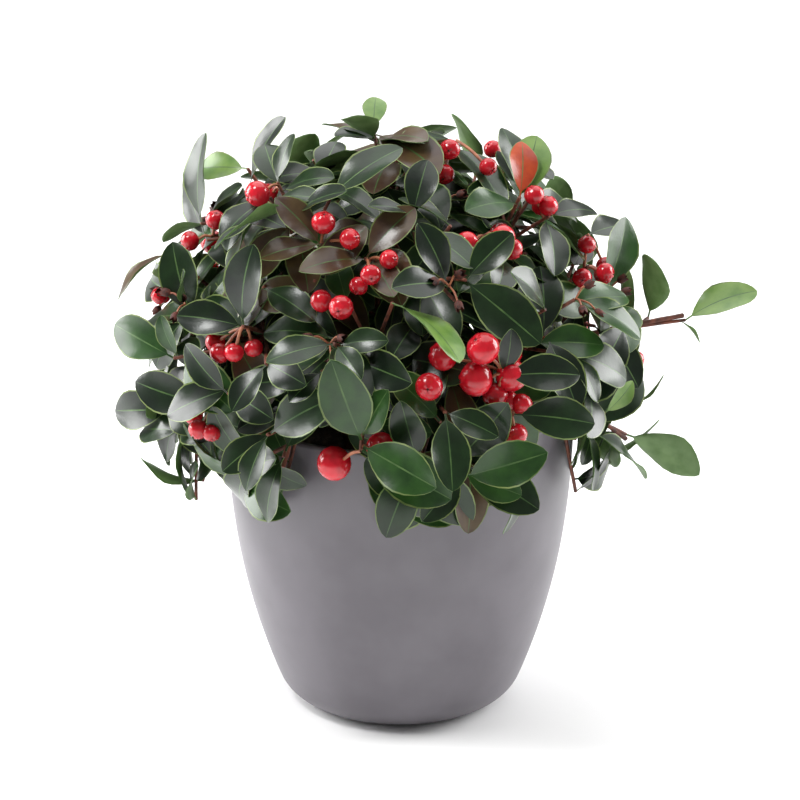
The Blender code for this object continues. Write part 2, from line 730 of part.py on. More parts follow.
def build():
    """Makes the pot, the soil, the stems and the masses of foliage."""
    for old in list(bpy.data.objects):
        bpy.data.objects.remove(old)
    pot = turned(pot_profile(), POT_SIDES)
    soil = turned(soil_profile(), POT_SIDES)
    new_object("pot", pot, "pot_glaze", smooth=True)
    new_object("soil", soil, "potting_soil", smooth=True)
    placed = Placed()
    placed.add(("pot", "wall"), pot)
    placed.add(("soil", "top"), soil)
    masses, feet = make_masses()
    for mass, foot in zip(masses, feet):
        path = stem_path(mass, foot)
        last = len(path) - 1
        radii = [STEM_RADIUS + (STEM_TIP_RADIUS - STEM_RADIUS) * i / last for i in range(last + 1)]
        radii[0] = STEM_FLARE
        solid = tube(path, radii, STEM_SIDES, UP, mass.heading)
        placed.add((f"stem_{mass.name}", "stem"), solid)
        placed.add((mass.name, "stem"), twig_solid(mass.stem))
        new_object(f"stem_{mass.name}", solid, BARK, smooth=True)
    grow(masses, placed)
    for mass in masses:
        fused(f"foliage_{mass.name}", mass_pieces(mass))


build()
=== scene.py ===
"""Looks of a potted wintergreen: a low shrub with glossy leaves and large berries.

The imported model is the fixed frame. The first half repeats the rule by which its stems,
shoots, leaves and berries grow, in millimetres, and carries it on to finer shoots. The
second half turns them into curved leaves, barked twigs and berries with a star-shaped tip.
"""

from collections import namedtuple
from math import cos, pi, radians, sin, sqrt
from random import Random

import bpy
from bpy.props import FloatProperty, FloatVectorProperty, IntProperty, PointerProperty
from mathutils import Matrix, Vector, noise
from mathutils.bvhtree import BVHTree


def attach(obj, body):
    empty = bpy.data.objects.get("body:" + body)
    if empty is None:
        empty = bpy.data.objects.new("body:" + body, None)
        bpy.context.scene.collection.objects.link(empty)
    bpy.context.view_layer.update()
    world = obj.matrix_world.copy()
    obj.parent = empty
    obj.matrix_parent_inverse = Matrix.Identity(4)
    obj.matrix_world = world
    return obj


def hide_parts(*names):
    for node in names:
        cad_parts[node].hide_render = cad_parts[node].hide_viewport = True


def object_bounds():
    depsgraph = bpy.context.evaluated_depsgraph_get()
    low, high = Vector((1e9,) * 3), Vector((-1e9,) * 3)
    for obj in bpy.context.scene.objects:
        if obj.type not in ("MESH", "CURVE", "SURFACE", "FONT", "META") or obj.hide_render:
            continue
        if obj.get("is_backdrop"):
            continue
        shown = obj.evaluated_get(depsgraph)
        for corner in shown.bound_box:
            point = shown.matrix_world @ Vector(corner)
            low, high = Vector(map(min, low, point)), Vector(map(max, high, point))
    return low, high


bl_info = {
    "name": "Potted wintergreen",
    "version": (1, 0, 0),
    "blender": (4, 5, 0),
    "location": "3D View > Sidebar > Wintergreen",
    "description": "Leaves, berries, twigs, soil and pot of a potted wintergreen",
    "category": "Add Mesh",
}

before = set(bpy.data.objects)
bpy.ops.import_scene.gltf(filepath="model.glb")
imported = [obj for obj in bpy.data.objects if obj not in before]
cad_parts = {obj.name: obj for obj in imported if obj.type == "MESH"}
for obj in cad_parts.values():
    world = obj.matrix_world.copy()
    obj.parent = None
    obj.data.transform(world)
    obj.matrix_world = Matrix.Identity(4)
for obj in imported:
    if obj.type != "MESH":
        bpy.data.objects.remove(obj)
CAD_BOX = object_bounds()

# Lengths are in millimetres and angles in degrees where nothing else is said
MM = 0.001  # metres in a millimetre
GAP = 0.3  # between neighbouring solids
UP = Vector((0, 0, 1))

# Pot: a turned cup, rounder towards its foot
POT_HEIGHT = 123.0
POT_RADIUS = 67.5  # at the rim
POT_FOOT_RADIUS = 43.5  # where the wall would meet the ground
POT_CORNER = 10.0  # rounding between the wall and the flat underside
POT_CURVE = 2.35  # power of the wall's curve
POT_WALL = 3.2
POT_FLOOR = 4.0
INNER_FOOT = POT_FLOOR * 2  # where the inner wall ends
FLOOR_INSET = 5  # from there in to the flat of the floor
POT_SIDES = 32
POT_STEPS = 9  # rings of the solid's wall
FINE_POT_STEPS = 60
FOOT_CROWDING = 1.6  # over 1, the wall's rings crowd towards the foot
POT_LIP_END = 13  # points of the pot's outline before its inner wall
POT_LIP_ANGLES = (45, 90, 135)
FINE_LIP_ANGLES = range(0, 181, 15)
FINE_INNER_HEIGHTS = range(119, 96, -3)  # from under the lip to below the soil's edge
POT_PIN = 0.01  # radius of the ring that closes the underside
SOIL_HEIGHT = 108.0  # at its edge
SOIL_CROWN = 3.0  # its middle stands this much higher
SOIL_GAP = GAP * 1.3  # from the pot's wall
SOIL_FLAT = 0.8  # part of its radius that is flat on top
SOIL_EDGE_ROOM = 2  # no ring of the soil's side is nearer to its edge than this

# Crown: the dome that the leaf tips reach
CROWN_MIDDLE = Vector((-4.0, 0.0, 132.0))
CROWN_REACH = 100.0
CROWN_RISE = 104.0
BARE_RIM = ((-27, -9), (36, 60))  # turns where the pot's rim shows between the leaves
RIM_ABOVE = 9  # what hides the rim is lower than this over it
RIM_INSIDE = 14  # and no further inside it than this
LOWEST_TIP = 92.0  # no leaf by rule hangs lower than this
MASS_SPACE = 60.0  # a mass keeps within this distance of its middle
SPRAY_SPACE = 75.0

# Stems, from the soil to their masses
STEM_SIDES = 5
STEM_FLARE = 2.3  # radius at the foot
STEM_RADIUS = 1.5
STEM_TIP_RADIUS = 1.15
STEM_UP = 0.6  # how much a stem turns up where its mass begins
BEND_LEAD = 0.45  # how long a curve keeps its first heading, for its length

# Twigs, leaves and berries of the solids
TWIG_RADIUS = 1.0
TWIG_TIP_RADIUS = 0.85
SHOOT_TRIES = 4
SHOOT_BASE = 0.3  # part of a mass's stem that is bare
SHOOT_REACH = 0.65  # part of it that shoots grow from
SHOOT_RETRY = 0.37  # how far the next try moves along, as a part of one shoot's step
SHOOT_ROOM = 0.5  # kept free round a shoot or a berry
LEAF_LENGTH = (24.0, 33.0)
LEAF_ROOT = 0.35  # half width of the leaf's stalk
# Sections of a leaf: where along it, half width for its width, and depth of the keel
FINE_LEAF = ((0, 0, 0.6), (0.40, 0.47, 0.7), (0.76, 0.45, 0.55))
PLAIN_LEAF = ((0, 0, 0.6), (0.58, 0.51, 0.7))
LEAF_ARCH = 0.07  # rise of the blade's middle, for its length
LEAF_SLENDER = 0.47  # width for its length
LEAF_FIRST = 0.6  # how far under its shoot's tip the first leaf is rooted
LEAF_SPACING = 1.9
BLADE_START = 0.25  # from here on a leaf keeps clear of its own neighbours
LEAF_ROOM = 0.4  # kept free round a leaf
OWN_LEAF_ROOM = 0.1  # and between leaves of one mass
LEAF_TRIES = 6  # for a leaf by rule: each turns and sinks a little more
LEAF_TRY_TURN = 14
LEAF_TRY_SINK = 6
LEAF_LIFTS = (0, 45)  # degrees out of the dome
LEAF_DROP = 8  # each leaf down the shoot lifts this much less
LEAF_ROLLS = (-30, 30)
LEAVES_BY_RULE = 4  # on each shoot
SHOWN_FACE_UP = 0.4  # how much a leaf's face turns to the light
RULE_FACE_UP = 0.5
LEAF_SAG = 0.15  # how much a leaf by rule sinks
POLE = 0.01  # a direction this close to straight up has no sideways
BERRY_STALK = 0.6
STALK_REACH = 13.0
BERRY_SIDES = 5
BERRY_DEEPER = 3  # berries are rooted this much deeper than they show
BERRY_SHRINK = 0.12  # the last berry of a cluster for the first
BERRY_SIZES = (0.9, 1)
BERRY_LIFTS = (70, 11, 80)  # first lift, step, and the span in which it starts again
BERRY_SAG = 0.5  # how much a berry sinks from its shoot's tip
BERRY_OFF = (3, 0.4)  # from its place to its skin, at first and more for each try
BERRY_HOOKS = (0.5, 0.6)  # leaf spacings from the shoot's tip, at first and for each berry
BERRY_TRIES = 12  # places tried for each berry
OWN_BERRY_ROOM = 0.25
GOLDEN = 137.5  # degrees between one leaf and the next round a shoot
GOLDEN_PART = 0.618  # step that spreads places evenly over a length
SEED = 5
# Turns and lifts tried in their order for a leaf that shows
TRIES = sorted(
    [(swing, raised) for swing in range(-32, 33, 8) for raised in range(-24, 37, 12)],
    key=lambda t: abs(t[0]) + abs(t[1]),
)

# Rings of foliage masses. tilt and depth place the end of a mass's own stem, and root_tilt
# and root_depth place its beginning, where the stem from the soil ends.
Ring = namedtuple("Ring", "name count turn tilt depth root_tilt root_depth foot shoots spread")
RINGS = (
    Ring("top", 1, 0, 90, 30, 90, 56, 0, 4, 20),
    Ring("upper", 6, 14, 48, 26, 52, 54, 11, 3, 17),
    Ring("middle", 8, -6, 17, 24, 24, 52, 24, 3, 15),
    Ring("rim", 8, 16, -9, 19, 9, 47, 38, 2, 13),
)

# Two shoots that stand out of the dome on the right: name, places of the mass's root and
# tip as turn, tilt and depth, and how far from the pot's axis their stem starts
OUTLIERS = (
    ("spray_high", (75, 15, 34), (88, 12, -15), 31),
    ("spray_low", (75, -2, 30), (88, -15, 5), 46),
)
# The leaves of those two: name, place of their root, and heading, lift, length and roll
SPRAY_WHORLS = (
    ("spray_high", 88, 13, -2, ((-18, 14, 30, 30),)),
    ("spray_high", 88, 11, -16, ((45, 75, 30, -30), (220, 30, 12, 0))),
    ("spray_low", 88, -14, 5, ((190, 75, 33, -60),)),
    ("spray_low", 86, -6, 4, ((20, 35, 16, 20),)),
)

# Whorls that show from the front: name, turn, tilt, depth, then each leaf's heading,
# clockwise from straight up the dome, its lift out of the dome, its length and its roll.
WHORLS = (
    ("left tall pair", -97, 37, 8, ((355, 35, 35, 40), (15, -5, 24, 0), (200, 30, 23, 30))),
    ("left yellow", -105, 53, 6, ((195, 30, 24, -50),)),
    ("left long dark", -37, 53, 6, ((200, 25, 37, 45), (75, 20, 26, 0))),
    ("left notched", -93, 28, 3, ((180, 25, 27, 0),)),
    ("left middle", -64, 24, 8, ((40, 35, 20, 0), (85, -10, 30, 0))),
    ("near black", -38, 24, 6, ((10, 25, 32, 0), (265, 25, 26, 0))),
    ("left gloss", -61, 12, 6, ((280, 25, 31, 0), (340, 30, 17, 0), (110, -10, 34, 0))),
    ("left low", -69, -1, 10, ((105, -10, 21, 0), (30, 15, 20, 0))),
    ("gloss pair", -29, 17, 5, ((200, 25, 21, 0), (100, 25, 23, 0))),
    ("gloss arch", -13, 23, 4, ((250, 25, 25, 0), (135, 25, 19, 0), (80, 25, 19, 0))),
    ("round middle", -16, 17, 8, ((215, 30, 17, 0),)),
    ("left rim", -28, 2, 6, ((195, 20, 22, 0), (55, 15, 32, 0), (225, 25, 23, 0))),
    (
        "front rim", -6, 1, 4,
        ((150, 25, 37, 0), (110, 25, 33, 0), (345, 25, 36, 0), (25, 25, 23, 0)),
    ),
    ("front small", -3, 15, 6, ((220, 25, 16, 0),)),
    ("right rim", 16, -5, 2, ((65, 25, 32, 0), (110, 20, 23, 0), (230, 25, 24, 0))),
    ("striped", 12, 9, 2, ((190, 25, 29, 0), (115, 25, 21, 0))),
    ("edge on", 1, 32, 4, ((135, 25, 38, -60),)),
    ("silver arch", 16, 35, 4, ((265, 25, 26, 0), (335, 25, 25, 0))),
    ("centre green", 21, 36, 4, ((55, 20, 24, 0), (140, 25, 36, 30))),
    ("top left", -62, 59, 8, ((340, 25, 20, 0), (295, 25, 24, 0), (55, 5, 25, 0))),
    ("top arch", -24, 57, 5, ((40, 30, 32, 0), (280, 5, 20, 0))),
    ("top", -70, 86, 6, ((295, 25, 18, 0), (70, -15, 38, 0), (135, 30, 26, 0), (65, 15, 28, 0))),
    ("top right", 91, 74, 8, ((325, -5, 26, 0), (230, -15, 36, 0))),
    ("red leaf", 59, 53, 6, ((40, 25, 23, 0), (55, 25, 29, 0), (285, -5, 27, 0))),
    ("right dark", 67, 46, 7, ((115, 25, 23, 0), (225, -5, 27, 0))),
    ("right high", 96, 34, 8, ((125, 35, 26, 0), (270, -25, 20, 0))),
    ("right large", 54, 27, 5, ((145, 25, 29, 0), (105, 25, 27, 0))),
    ("centre right", 43, 27, 6, ((310, 20, 26, 0), (285, 15, 28, 0))),
    ("right front", 26, 15, 3, ((95, 20, 28, 0), (5, 25, 18, 0))),
    ("right lower", 28, 7, 3, ((100, 25, 30, 0),)),
    ("right side", 48, 16, 6, ((180, 25, 20, 0), (120, 25, 31, 0))),
    ("right small", 59, 0, 6, ((40, 25, 16, 0),)),
    ("shiny middle", 9, 55, 8, ((265, 20, 18, 0), (20, 15, 24, 0))),
    ("middle dark", -8, 44, 12, ((40, 20, 26, 0), (250, 20, 26, 0), (150, 20, 24, 0))),
    ("middle brown", -24, 47, 12, ((230, 20, 24, 0), (330, 15, 24, 0))),
)

# Berries that show from the front: name, turn, tilt and depth of the place they hang from,
# how many, and the radius of the largest
CLUSTERS = (
    ("front right", 24, 20, 9, 5, 6.4),
    ("front right low", 29, 5, 8, 2, 4.4),
    ("front middle", 11, 15, 8, 1, 5.4),
    ("front rim", -9, 1, 6, 1, 6.2),
    ("middle high", -18, 49, 7, 2, 4.4),
    ("middle left", -12, 34, 7, 2, 4.4),
    ("middle", -2, 38, 7, 3, 4.0),
    ("left high", -60, 57, 8, 2, 5.0),
    ("left side", -84, 38, 9, 2, 4.0),
    ("left lower", -44, 20, 9, 3, 4.2),
    ("left edge", -88, 22, 8, 1, 3.6),
    ("left rim", -48, 2, 8, 2, 4.2),
    ("left low edge", -66, 5, 8, 1, 4.0),
    ("top right", 70, 72, 10, 3, 4.2),
    ("right top", 68, 51, 7, 2, 4.3),
    ("centre right", 38, 48, 8, 3, 4.9),
    ("right", 76, 31, 7, 3, 4.0),
    ("right edge", 86, 7, 7, 1, 3.8),
)
# Clusters at the back, which the photograph doesn't show
BACK_CLUSTERS = 3
BACK_TURNS = (100, 160)  # first turn and span
BACK_TILTS = (5, 60)
BACK_DEPTHS = (12, 8)  # for the choice of a mass, and of the cluster
BACK_RADIUS = 5.0

# Shoots by rule round each mass
SHOOT_SPINS = (0, 60)  # how far each strays from its spiral
SHOOT_DEPTHS = (7, 17)
SHOOT_NARROWEST = 0.25  # least cosine of a tilt that a turn is widened by

# More berries that show, without a solid: turn, tilt and depth of their middle, and radius
MORE_BERRIES = (
    (-13, -4, 12, 6.3), (25, 11, 8, 4.7), (28, 9, 9, 4.7), (66, 64, 8, 3.4),
    (114, 62, 8, 3.4), (81, 27, 8, 3.8), (93, 26, 8, 3.5), (-68, 1, 8, 3.8),
    (-45, -1, 8, 3.5), (-40, 18, 8, 3.6), (-91, 19, 8, 3.3), (41, 42, 8, 4.0),
    (70, 49, 8, 3.7),
)

# Finer shoots inside the crown, without a solid
FILL_DEPTHS = (12, 22, 32, 16, 27, 38)  # in turn
FILL_STRAYS = (-3, 3)  # from those depths
FILL_SPREAD = 24.0  # round a mass
FILL_FIRST = 3  # step in its spiral
FILL_SPINS = (0, 90)
FILL_NARROWEST = 0.3

# Dried flowers that show: turn, tilt and depth of each group
WITHERED = (
    (17, 33, 5), (60, 21, 5), (70, 24, 6), (-58, 33, 8), (-20, 28, 9), (92, 22, 6),
    (-8, 22, 9), (-88, 16, 10), (76, 2, 10), (140, 30, 9), (200, 20, 9), (250, 35, 9),
    (170, 50, 9), (40, 62, 8),
)
DRIED_IN_GROUP = 3
DRIED_LIFTS = (35, 70)  # degrees out of the dome
DRIED_REACH = (6, 9)  # how far they stand from their shoot's tip
DRIED_SPINS = (0, 60)
DRIED_SAG = 1.5
DRIED_KNEE = 0.6  # part of the stalk's length where it bends
DRIED_ARCH = 1.2
DRIED_STALK = 0.38
DRIED_STALK_SIDES = 5

# Leaves in full detail
ACROSS = (-1.0, -0.93, -0.45, -0.035, 0.035, 0.45, 0.93, 1.0)  # for the half width
ALONG = (0.0, 0.05, 0.1, 0.17, 0.27, 0.38, 0.5, 0.62, 0.74, 0.84, 0.92, 0.97, 1.0)
STRIPS = ("margin", "blade", "blade", "midrib", "blade", "blade", "margin")
WIDEST = 0.56  # half width for the leaf's stated width
PETIOLE = 0.1  # part of the length that is stalk
PETIOLE_HALF = 0.05  # its half width for the widest
BLADE_SKEW = 1.12  # over 1, the widest place moves towards the tip
BLADE_FULLNESS = 0.62  # under 1, the outline is rounder than a sine
BLADE_THICKNESS = 0.3
CUP = 0.16  # rise of the margins for the half width
CUP_POWER = 1.6
WAVE = 0.025  # height of the margin's waves for the length
WAVE_ALONG = 9  # radians from root to tip
WAVE_ASIDE = 2  # radians from midrib to margin
WAVE_POWER = 3  # how fast the waves die out towards the midrib
CURLS = (-0.05, 0.14)  # droop of the tip for the length
TWISTS = (-0.4, 0.4)  # radians from root to tip
SPRAY_BREAK = 3  # leaves further apart than this many spacings are of different sprays

# Berries in full detail. Where nothing else is said, measures are for the radius.
BERRY_RINGS = 9
BERRY_AROUND = 15
BERRY_LOBES = 5
BERRY_LOBE = 0.06  # height of the lobes round the star
LOBES_START = 0.5  # radians below the berry's equator
BERRY_WIDE = 1.03
BERRY_TALL = 0.95
STAR_TILT = -1.2  # where the star begins, in radians below the berry's equator
STAR_POINT = (1.02, 0.45)  # depth of its points, and how far they reach in from its rim
STAR_NOTCH = (0.9, 0.75)
STAR_FLOOR = 0.72
DRY_STARS = 0.35  # share of the berries whose star has dried
STALK_END = 0.93  # how far from the middle the stalk ends
STALK_ARCH = 0.8  # in millimetres
STALK_SIDES = 6

# Sections of a dried flower: height, width and rise of its points, for its radius
CALYX = ((-0.4, 0.35, 0), (0.1, 0.85, 0), (0.7, 1.0, 0.2), (1.4, 0.9, 0.75))
CALYX_RADIUS = 1.7
CALYX_SIDES = 10
CALYX_FLOOR = 0.4  # height for its radius

# Twigs and stems in full detail
CURVE_STEPS = 4  # points for each of a curved path's own
LONG_STEPS = 6
TIP_LENGTH = 0.6  # of a tube's rounded end, for its radius
KNOB_CLOSENESS = 0.9  # knobs of the bark for each millimetre
SHOOT_THIN = 0.8  # shoots for their solids
ROOTED = 0.1  # a leaf this close to a shoot's line is rooted on it
TWIG_BARK = (7, "bark", 0.25)  # sides, material and knobbliness
STEM_BARK = (10, "bark", 0.3)
STEM_SWELL = 1.08  # just above the flared foot

# Soil in full detail
SOIL_RINGS = 60
FINE_SOIL_SIDES = 180
CRUMBS = ((0.35, 1.1), (1.1, 0.5))  # how close the crumbs are, and how high
SOIL_SETTLED = 0.4  # the crumbs are sunk into the solid's surface by this
SOIL_PIN = 0.002  # part of the radius that the innermost ring has
SOIL_DOME = 4  # power of the fall from middle to edge

# Upper sides of leaves: name, the two colours that the blade wanders between, and share of
# the sprays. Old leaves are nearly black green, and cold weather turns some bronze or red.
LEAF_KINDS = (
    ("leaf_dark_green", ("#0b160d", "#132311"), 38),
    ("leaf_deep_green", ("#10210d", "#1a3015"), 34),
    ("leaf_mid_green", ("#1b3614", "#294a1c"), 15),
    ("leaf_young_green", ("#4d6f2c", "#6e8b42"), 7),
    ("leaf_bronze", ("#3c291f", "#4d3d26"), 5),
    ("leaf_red", ("#8e2f1b", "#b34a24"), 1),
)
# Kinds of leaves that show: by whorl and number, or by mass and number where the rule grew it
PLACED_KINDS = {
    ("red leaf", 0): "leaf_red",
    ("red leaf", 1): "leaf_young_green",
    ("left yellow", 0): "leaf_young_green",
    ("left notched", 0): "leaf_bronze",
    ("edge on", 0): "leaf_young_green",
    ("top", 0): "leaf_young_green",
    ("right small", 0): "leaf_young_green",
    ("spray_high", 0): "leaf_young_green",
    ("spray_high", 1): "leaf_mid_green",
    ("spray_low", 0): "leaf_mid_green",
    ("front rim", 0): "leaf_mid_green",
    ("right rim", 0): "leaf_mid_green",
    ("right rim", 1): "leaf_mid_green",
    ("right rim", 2): "leaf_deep_green",
    ("grown in rim_1", 9): "leaf_deep_green",
    ("right lower", 0): "leaf_deep_green",
    ("near black", 0): "leaf_dark_green",
    ("middle brown", 0): "leaf_bronze",
    ("middle brown", 1): "leaf_bronze",
}
# Kinds that stand only there, so a spray by rule that draws one is deep green
PLACED_ONLY = ("leaf_young_green", "leaf_red")

# Patterns of the materials
PER_METRE = 1000  # millimetres
PATCH_DETAIL = 3.0
PATCH_EDGES = (0.35, 0.65)
GRAIN_DETAIL = 4.0
GRAIN_HEIGHT = 3  # a grain is this many times as wide as it is high

# Studio, in metres, watts and degrees. A softbox has a name, place, side and power.
FLOOR_REACH = 6.0
WORLD_STRENGTH = 0.2
OVERHEAD_STRENGTH = 2.6
OVERHEAD_WIDTH = 75  # as wide as a soft sky, so its shadow has no edge
OVERHEAD_TILT = (-24, 6, 0)
SOFTBOXES = (
    ("left_softbox", (-1.1, 0.3, 0.5), 0.8, 21),
    ("right_softbox", (1.1, 0.35, 0.5), 0.8, 19),
    ("upper_softbox", (-0.5, -0.35, 1.1), 0.3, 8),
)
LIT_POINT = Vector((0, 0, 0.13))  # where the softboxes face

# Camera, worked out from the pot in the photograph
FRAME_PIXELS = 800
FOCAL_PIXELS = 3077.0
SENSOR = 36  # width in millimetres
CAMERA_RISE = radians(19.4)
CAMERA_PITCH = radians(18.44)
CAMERA_AIM = 0.1  # height in metres of the point that its distance counts from

Leaf = namedtuple("Leaf", "root tip face width sections")
Berry = namedtuple("Berry", "middle radius hook")
Twig = namedtuple("Twig", "points radius tip_radius heading", defaults=(None,))


# Places on the crown


def outward_at(turn, tilt):
    """Direction out of the dome at a turn and tilt in degrees."""
    turn = radians(turn)
    tilt = radians(tilt)
    return Vector((cos(tilt) * sin(turn), -cos(tilt) * cos(turn), sin(tilt)))


def on_crown(turn, tilt, depth):
    """Point at a turn and tilt, this deep under the dome's outline."""
    out = outward_at(turn, tilt)
    reach = CROWN_REACH - depth
    return CROWN_MIDDLE + Vector((out.x * reach, out.y * reach, out.z * (CROWN_RISE - depth)))


def turn_of(point):
    """Turn in degrees of a point seen from the pot's axis."""
    return Vector((0, -1)).angle_signed(Vector((point.x, point.y)), 0) * -180 / pi


def bend(start, heading, end, steps):
    """Points on a curve that leaves start along heading and reaches end."""
    knee = start + heading * (end - start).length * BEND_LEAD
    parts = [i / steps for i in range(steps + 1)]
    return [start.lerp(knee, t).lerp(knee.lerp(end, t), t) for t in parts]


def ring_round(point, heading, side, radius, sides):
    """Points of a circle round a point, square to a heading."""
    across = heading.cross(side)
    angles = [2 * pi * k / sides for k in range(sides)]
    return [point + (side * cos(a) + across * sin(a)) * radius for a in angles]


def level_ring(radius, height, sides):
    """Points of a level circle round the pot's axis."""
    angles = [2 * pi * k / sides for k in range(sides)]
    return [Vector((radius * cos(a), radius * sin(a), height)) for a in angles]


def tapered(start, end, count):
    """Radii that go evenly from start to end."""
    return [start + (end - start) * i / (count - 1) for i in range(count)]


# Solids: a list of points and a list of triangles


def skin(rings):
    """Closed solid through rings of points. A ring of one point ends it in a tip."""
    points = [point for ring in rings for point in ring]
    starts = [sum(len(ring) for ring in rings[:i]) for i in range(len(rings))]
    faces = []
    for ring, after, a, b in zip(rings, rings[1:], starts, starts[1:]):
        sides = max(len(ring), len(after))
        for i in range(sides):
            j = (i + 1) % sides
            if len(ring) > 1:
                faces.append((a + i, a + j, b + (j if len(after) > 1 else 0)))
            if len(after) > 1:
                faces.append((a + (i if len(ring) > 1 else 0), b + j, b + i))
    for ring, start in ((rings[0], starts[0]), (rings[-1], starts[-1])):
        fan = [(start, start + i + 1, start + i) for i in range(1, len(ring) - 1)]
        faces += fan if ring is rings[0] else [face[::-1] for face in fan]
    if volume(points, faces) < 0:
        faces = [face[::-1] for face in faces]
    return points, faces


def volume(points, faces):
    """Six times the volume, which is negative where the faces point inwards."""
    middle = points[0]
    corners = ((points[a] - middle, points[b] - middle, points[c] - middle) for a, b, c in faces)
    return sum(a.dot(b.cross(c)) for a, b, c in corners)


def tube(points, radii, sides, first=None, last=None):
    """Solid round a path, with a radius at each point. Its ends face along first and last."""
    headings = [(b - a).normalized() for a, b in zip(points, points[2:])]
    headings.insert(0, first or (points[1] - points[0]).normalized())
    headings.append(last or (points[-1] - points[-2]).normalized())
    side = headings[0].orthogonal().normalized()
    rings = []
    for point, radius, heading in zip(points, radii, headings):
        side = (side - heading * side.dot(heading)).normalized()
        rings.append(ring_round(point, heading, side, radius, sides))
    return skin(rings)


def twig_solid(twig, spare=0.0, sides=3):
    """Tapering twig, or with spare the room that it needs."""
    radii = tapered(twig.radius, twig.tip_radius, len(twig.points))
    return tube(twig.points, [radius + spare for radius in radii], sides, twig.heading)


def leaf_sections(leaf, start):
    """Place, half width and depth of a leaf's sections, from a part of its length on."""
    sections = [(part, half * leaf.width or LEAF_ROOT, keel) for part, half, keel in leaf.sections]
    first, second = sections[:2]
    if start:
        half = first[1] + (second[1] - first[1]) * start / second[0]
        sections[0] = (start, half, first[2])
    return sections


def leaf_solid(leaf, start=0.0):
    """Thin blade on three-cornered sections, flat above with a keel below."""
    chord = leaf.tip - leaf.root
    side = chord.cross(leaf.face).normalized()
    rings = []
    for part, half, keel in leaf_sections(leaf, start):
        rise = 4 * LEAF_ARCH * chord.length * part * (1 - part)
        middle = leaf.root + chord * part + leaf.face * rise
        rings.append([middle - side * half, middle + side * half, middle - leaf.face * keel])
    return skin(rings + [[leaf.tip]])


def leaf_room(leaf, spare, start=0.0):
    """Box-like space round a leaf that nothing else may enter."""
    chord = leaf.tip - leaf.root
    side = chord.cross(leaf.face).normalized()
    rings = []
    for part, half, keel in leaf_sections(leaf, start) + [(1 + spare / chord.length, 0, 0)]:
        rise = 4 * LEAF_ARCH * chord.length * part * (1 - part)
        middle = leaf.root + chord * part + leaf.face * (rise + spare)
        wide = side * (half + spare)
        low = leaf.face * (keel + 2 * spare)
        rings.append([middle - wide, middle + wide, middle + wide - low, middle - wide - low])
    return skin(rings)


def berry_solid(berry, spare=0.0, stalk=True):
    """Round berry under a thin stalk."""
    axis = (berry.hook - berry.middle).normalized()
    radius = berry.radius + spare
    belts = [(radius * sin(tilt), radius * cos(tilt)) for tilt in (pi / 4, 0, -pi / 4)]
    if stalk:
        belts = [((berry.hook - berry.middle).length, BERRY_STALK), (radius, BERRY_STALK)] + belts
    else:
        belts = [(radius, 0)] + belts
    side = axis.orthogonal().normalized()
    rings = []
    for height, wide in belts + [(-radius, 0)]:
        sides = BERRY_SIDES if wide else 1
        rings.append(ring_round(berry.middle + axis * height, axis, side, wide, sides))
    return skin(rings)


# Room: what is already in place, and whether something new fits


class Placed:
    """Solids already in place, each with its owner and the part that its own mass avoids."""

    def __init__(self):
        self.items = []

    def add(self, owner, solid, blade=None):
        """Keeps a solid, and optionally only part of it for its own mass."""
        points = solid[0]
        middle = sum(points, Vector()) / len(points)
        reach = max((point - middle).length for point in points)
        tree = BVHTree.FromPolygons(*solid)
        own = BVHTree.FromPolygons(*blade) if blade else tree
        self.items.append((owner, middle, reach, tree, own))

    def fits(self, mass, room, own_room, touching=None):
        """Whether nothing is in the way but the piece that it grows from."""
        points = room[0]
        middle = sum(points, Vector()) / len(points)
        reach = max((point - middle).length for point in points)
        tree = BVHTree.FromPolygons(*room)
        own_tree = BVHTree.FromPolygons(*own_room)
        for owner, other_middle, other_reach, other_tree, other_own in self.items:
            if (middle - other_middle).length > reach + other_reach or owner == touching:
                continue
            if owner[0] == mass:
                if own_tree.overlap(other_own):
                    return False
            elif tree.overlap(other_tree):
                return False
        return True


class Mass:
    """One mass of foliage: its stem, and the shoots, leaves and berries that it carries."""

    def __init__(self, name, root, heading, tip, space):
        self.name = name
        self.heading = heading
        self.stem = Twig(bend(root, heading, tip, 3), STEM_TIP_RADIUS, TWIG_RADIUS, heading)
        self.middle = (root + tip * 3) / 4
        self.space = space
        self.twigs = [self.stem]
        self.leaves = []
        self.berries = []
        self.shoots = 0
        self.owners = []
        self.seen = {}

    def holds(self, points):
        """Whether points are inside the mass's own space."""
        return all((point - self.middle).length < self.space for point in points)


def over_bare_rim(points):
    """Whether a point hides the stretch of the pot's rim that shows."""
    highest = POT_HEIGHT + RIM_ABOVE
    inmost = POT_RADIUS - RIM_INSIDE
    low = [p for p in points if p.z < highest and p.y < 0 and p.xy.length > inmost]
    return any(a < turn_of(p) < b for p in low for a, b in BARE_RIM)


def on_stem(stem, part):
    """Point at a part of a stem's length."""
    last = len(stem.points) - 1
    i = min(int(part * last), last - 1)
    start, end = stem.points[i : i + 2]
    return start.lerp(end, part * last - i)


def add_shoot(mass, place, placed, key):
    """Grows a shoot from the mass's stem to a place, and gives its owner name."""
    owner = (mass.name, "shoot", key)
    mass.shoots += 1
    for attempt in range(SHOOT_TRIES):
        spot = (mass.shoots + attempt * SHOOT_RETRY) * GOLDEN_PART % 1
        start = on_stem(mass.stem, SHOOT_BASE + SHOOT_REACH * spot)
        points = [start, place]
        twig = Twig(points, TWIG_RADIUS, TWIG_TIP_RADIUS)
        room = twig_solid(twig, SHOOT_ROOM, 6)
        outer = twig_solid(Twig([start.lerp(place, 0.5), place], TWIG_RADIUS, TWIG_TIP_RADIUS))
        if mass.holds(points) and placed.fits(mass.name, room, outer, (mass.name, "stem")):
            mass.twigs.append(twig)
            mass.owners.append(owner)
            placed.add(owner, twig_solid(twig), outer)
            return owner
    return None


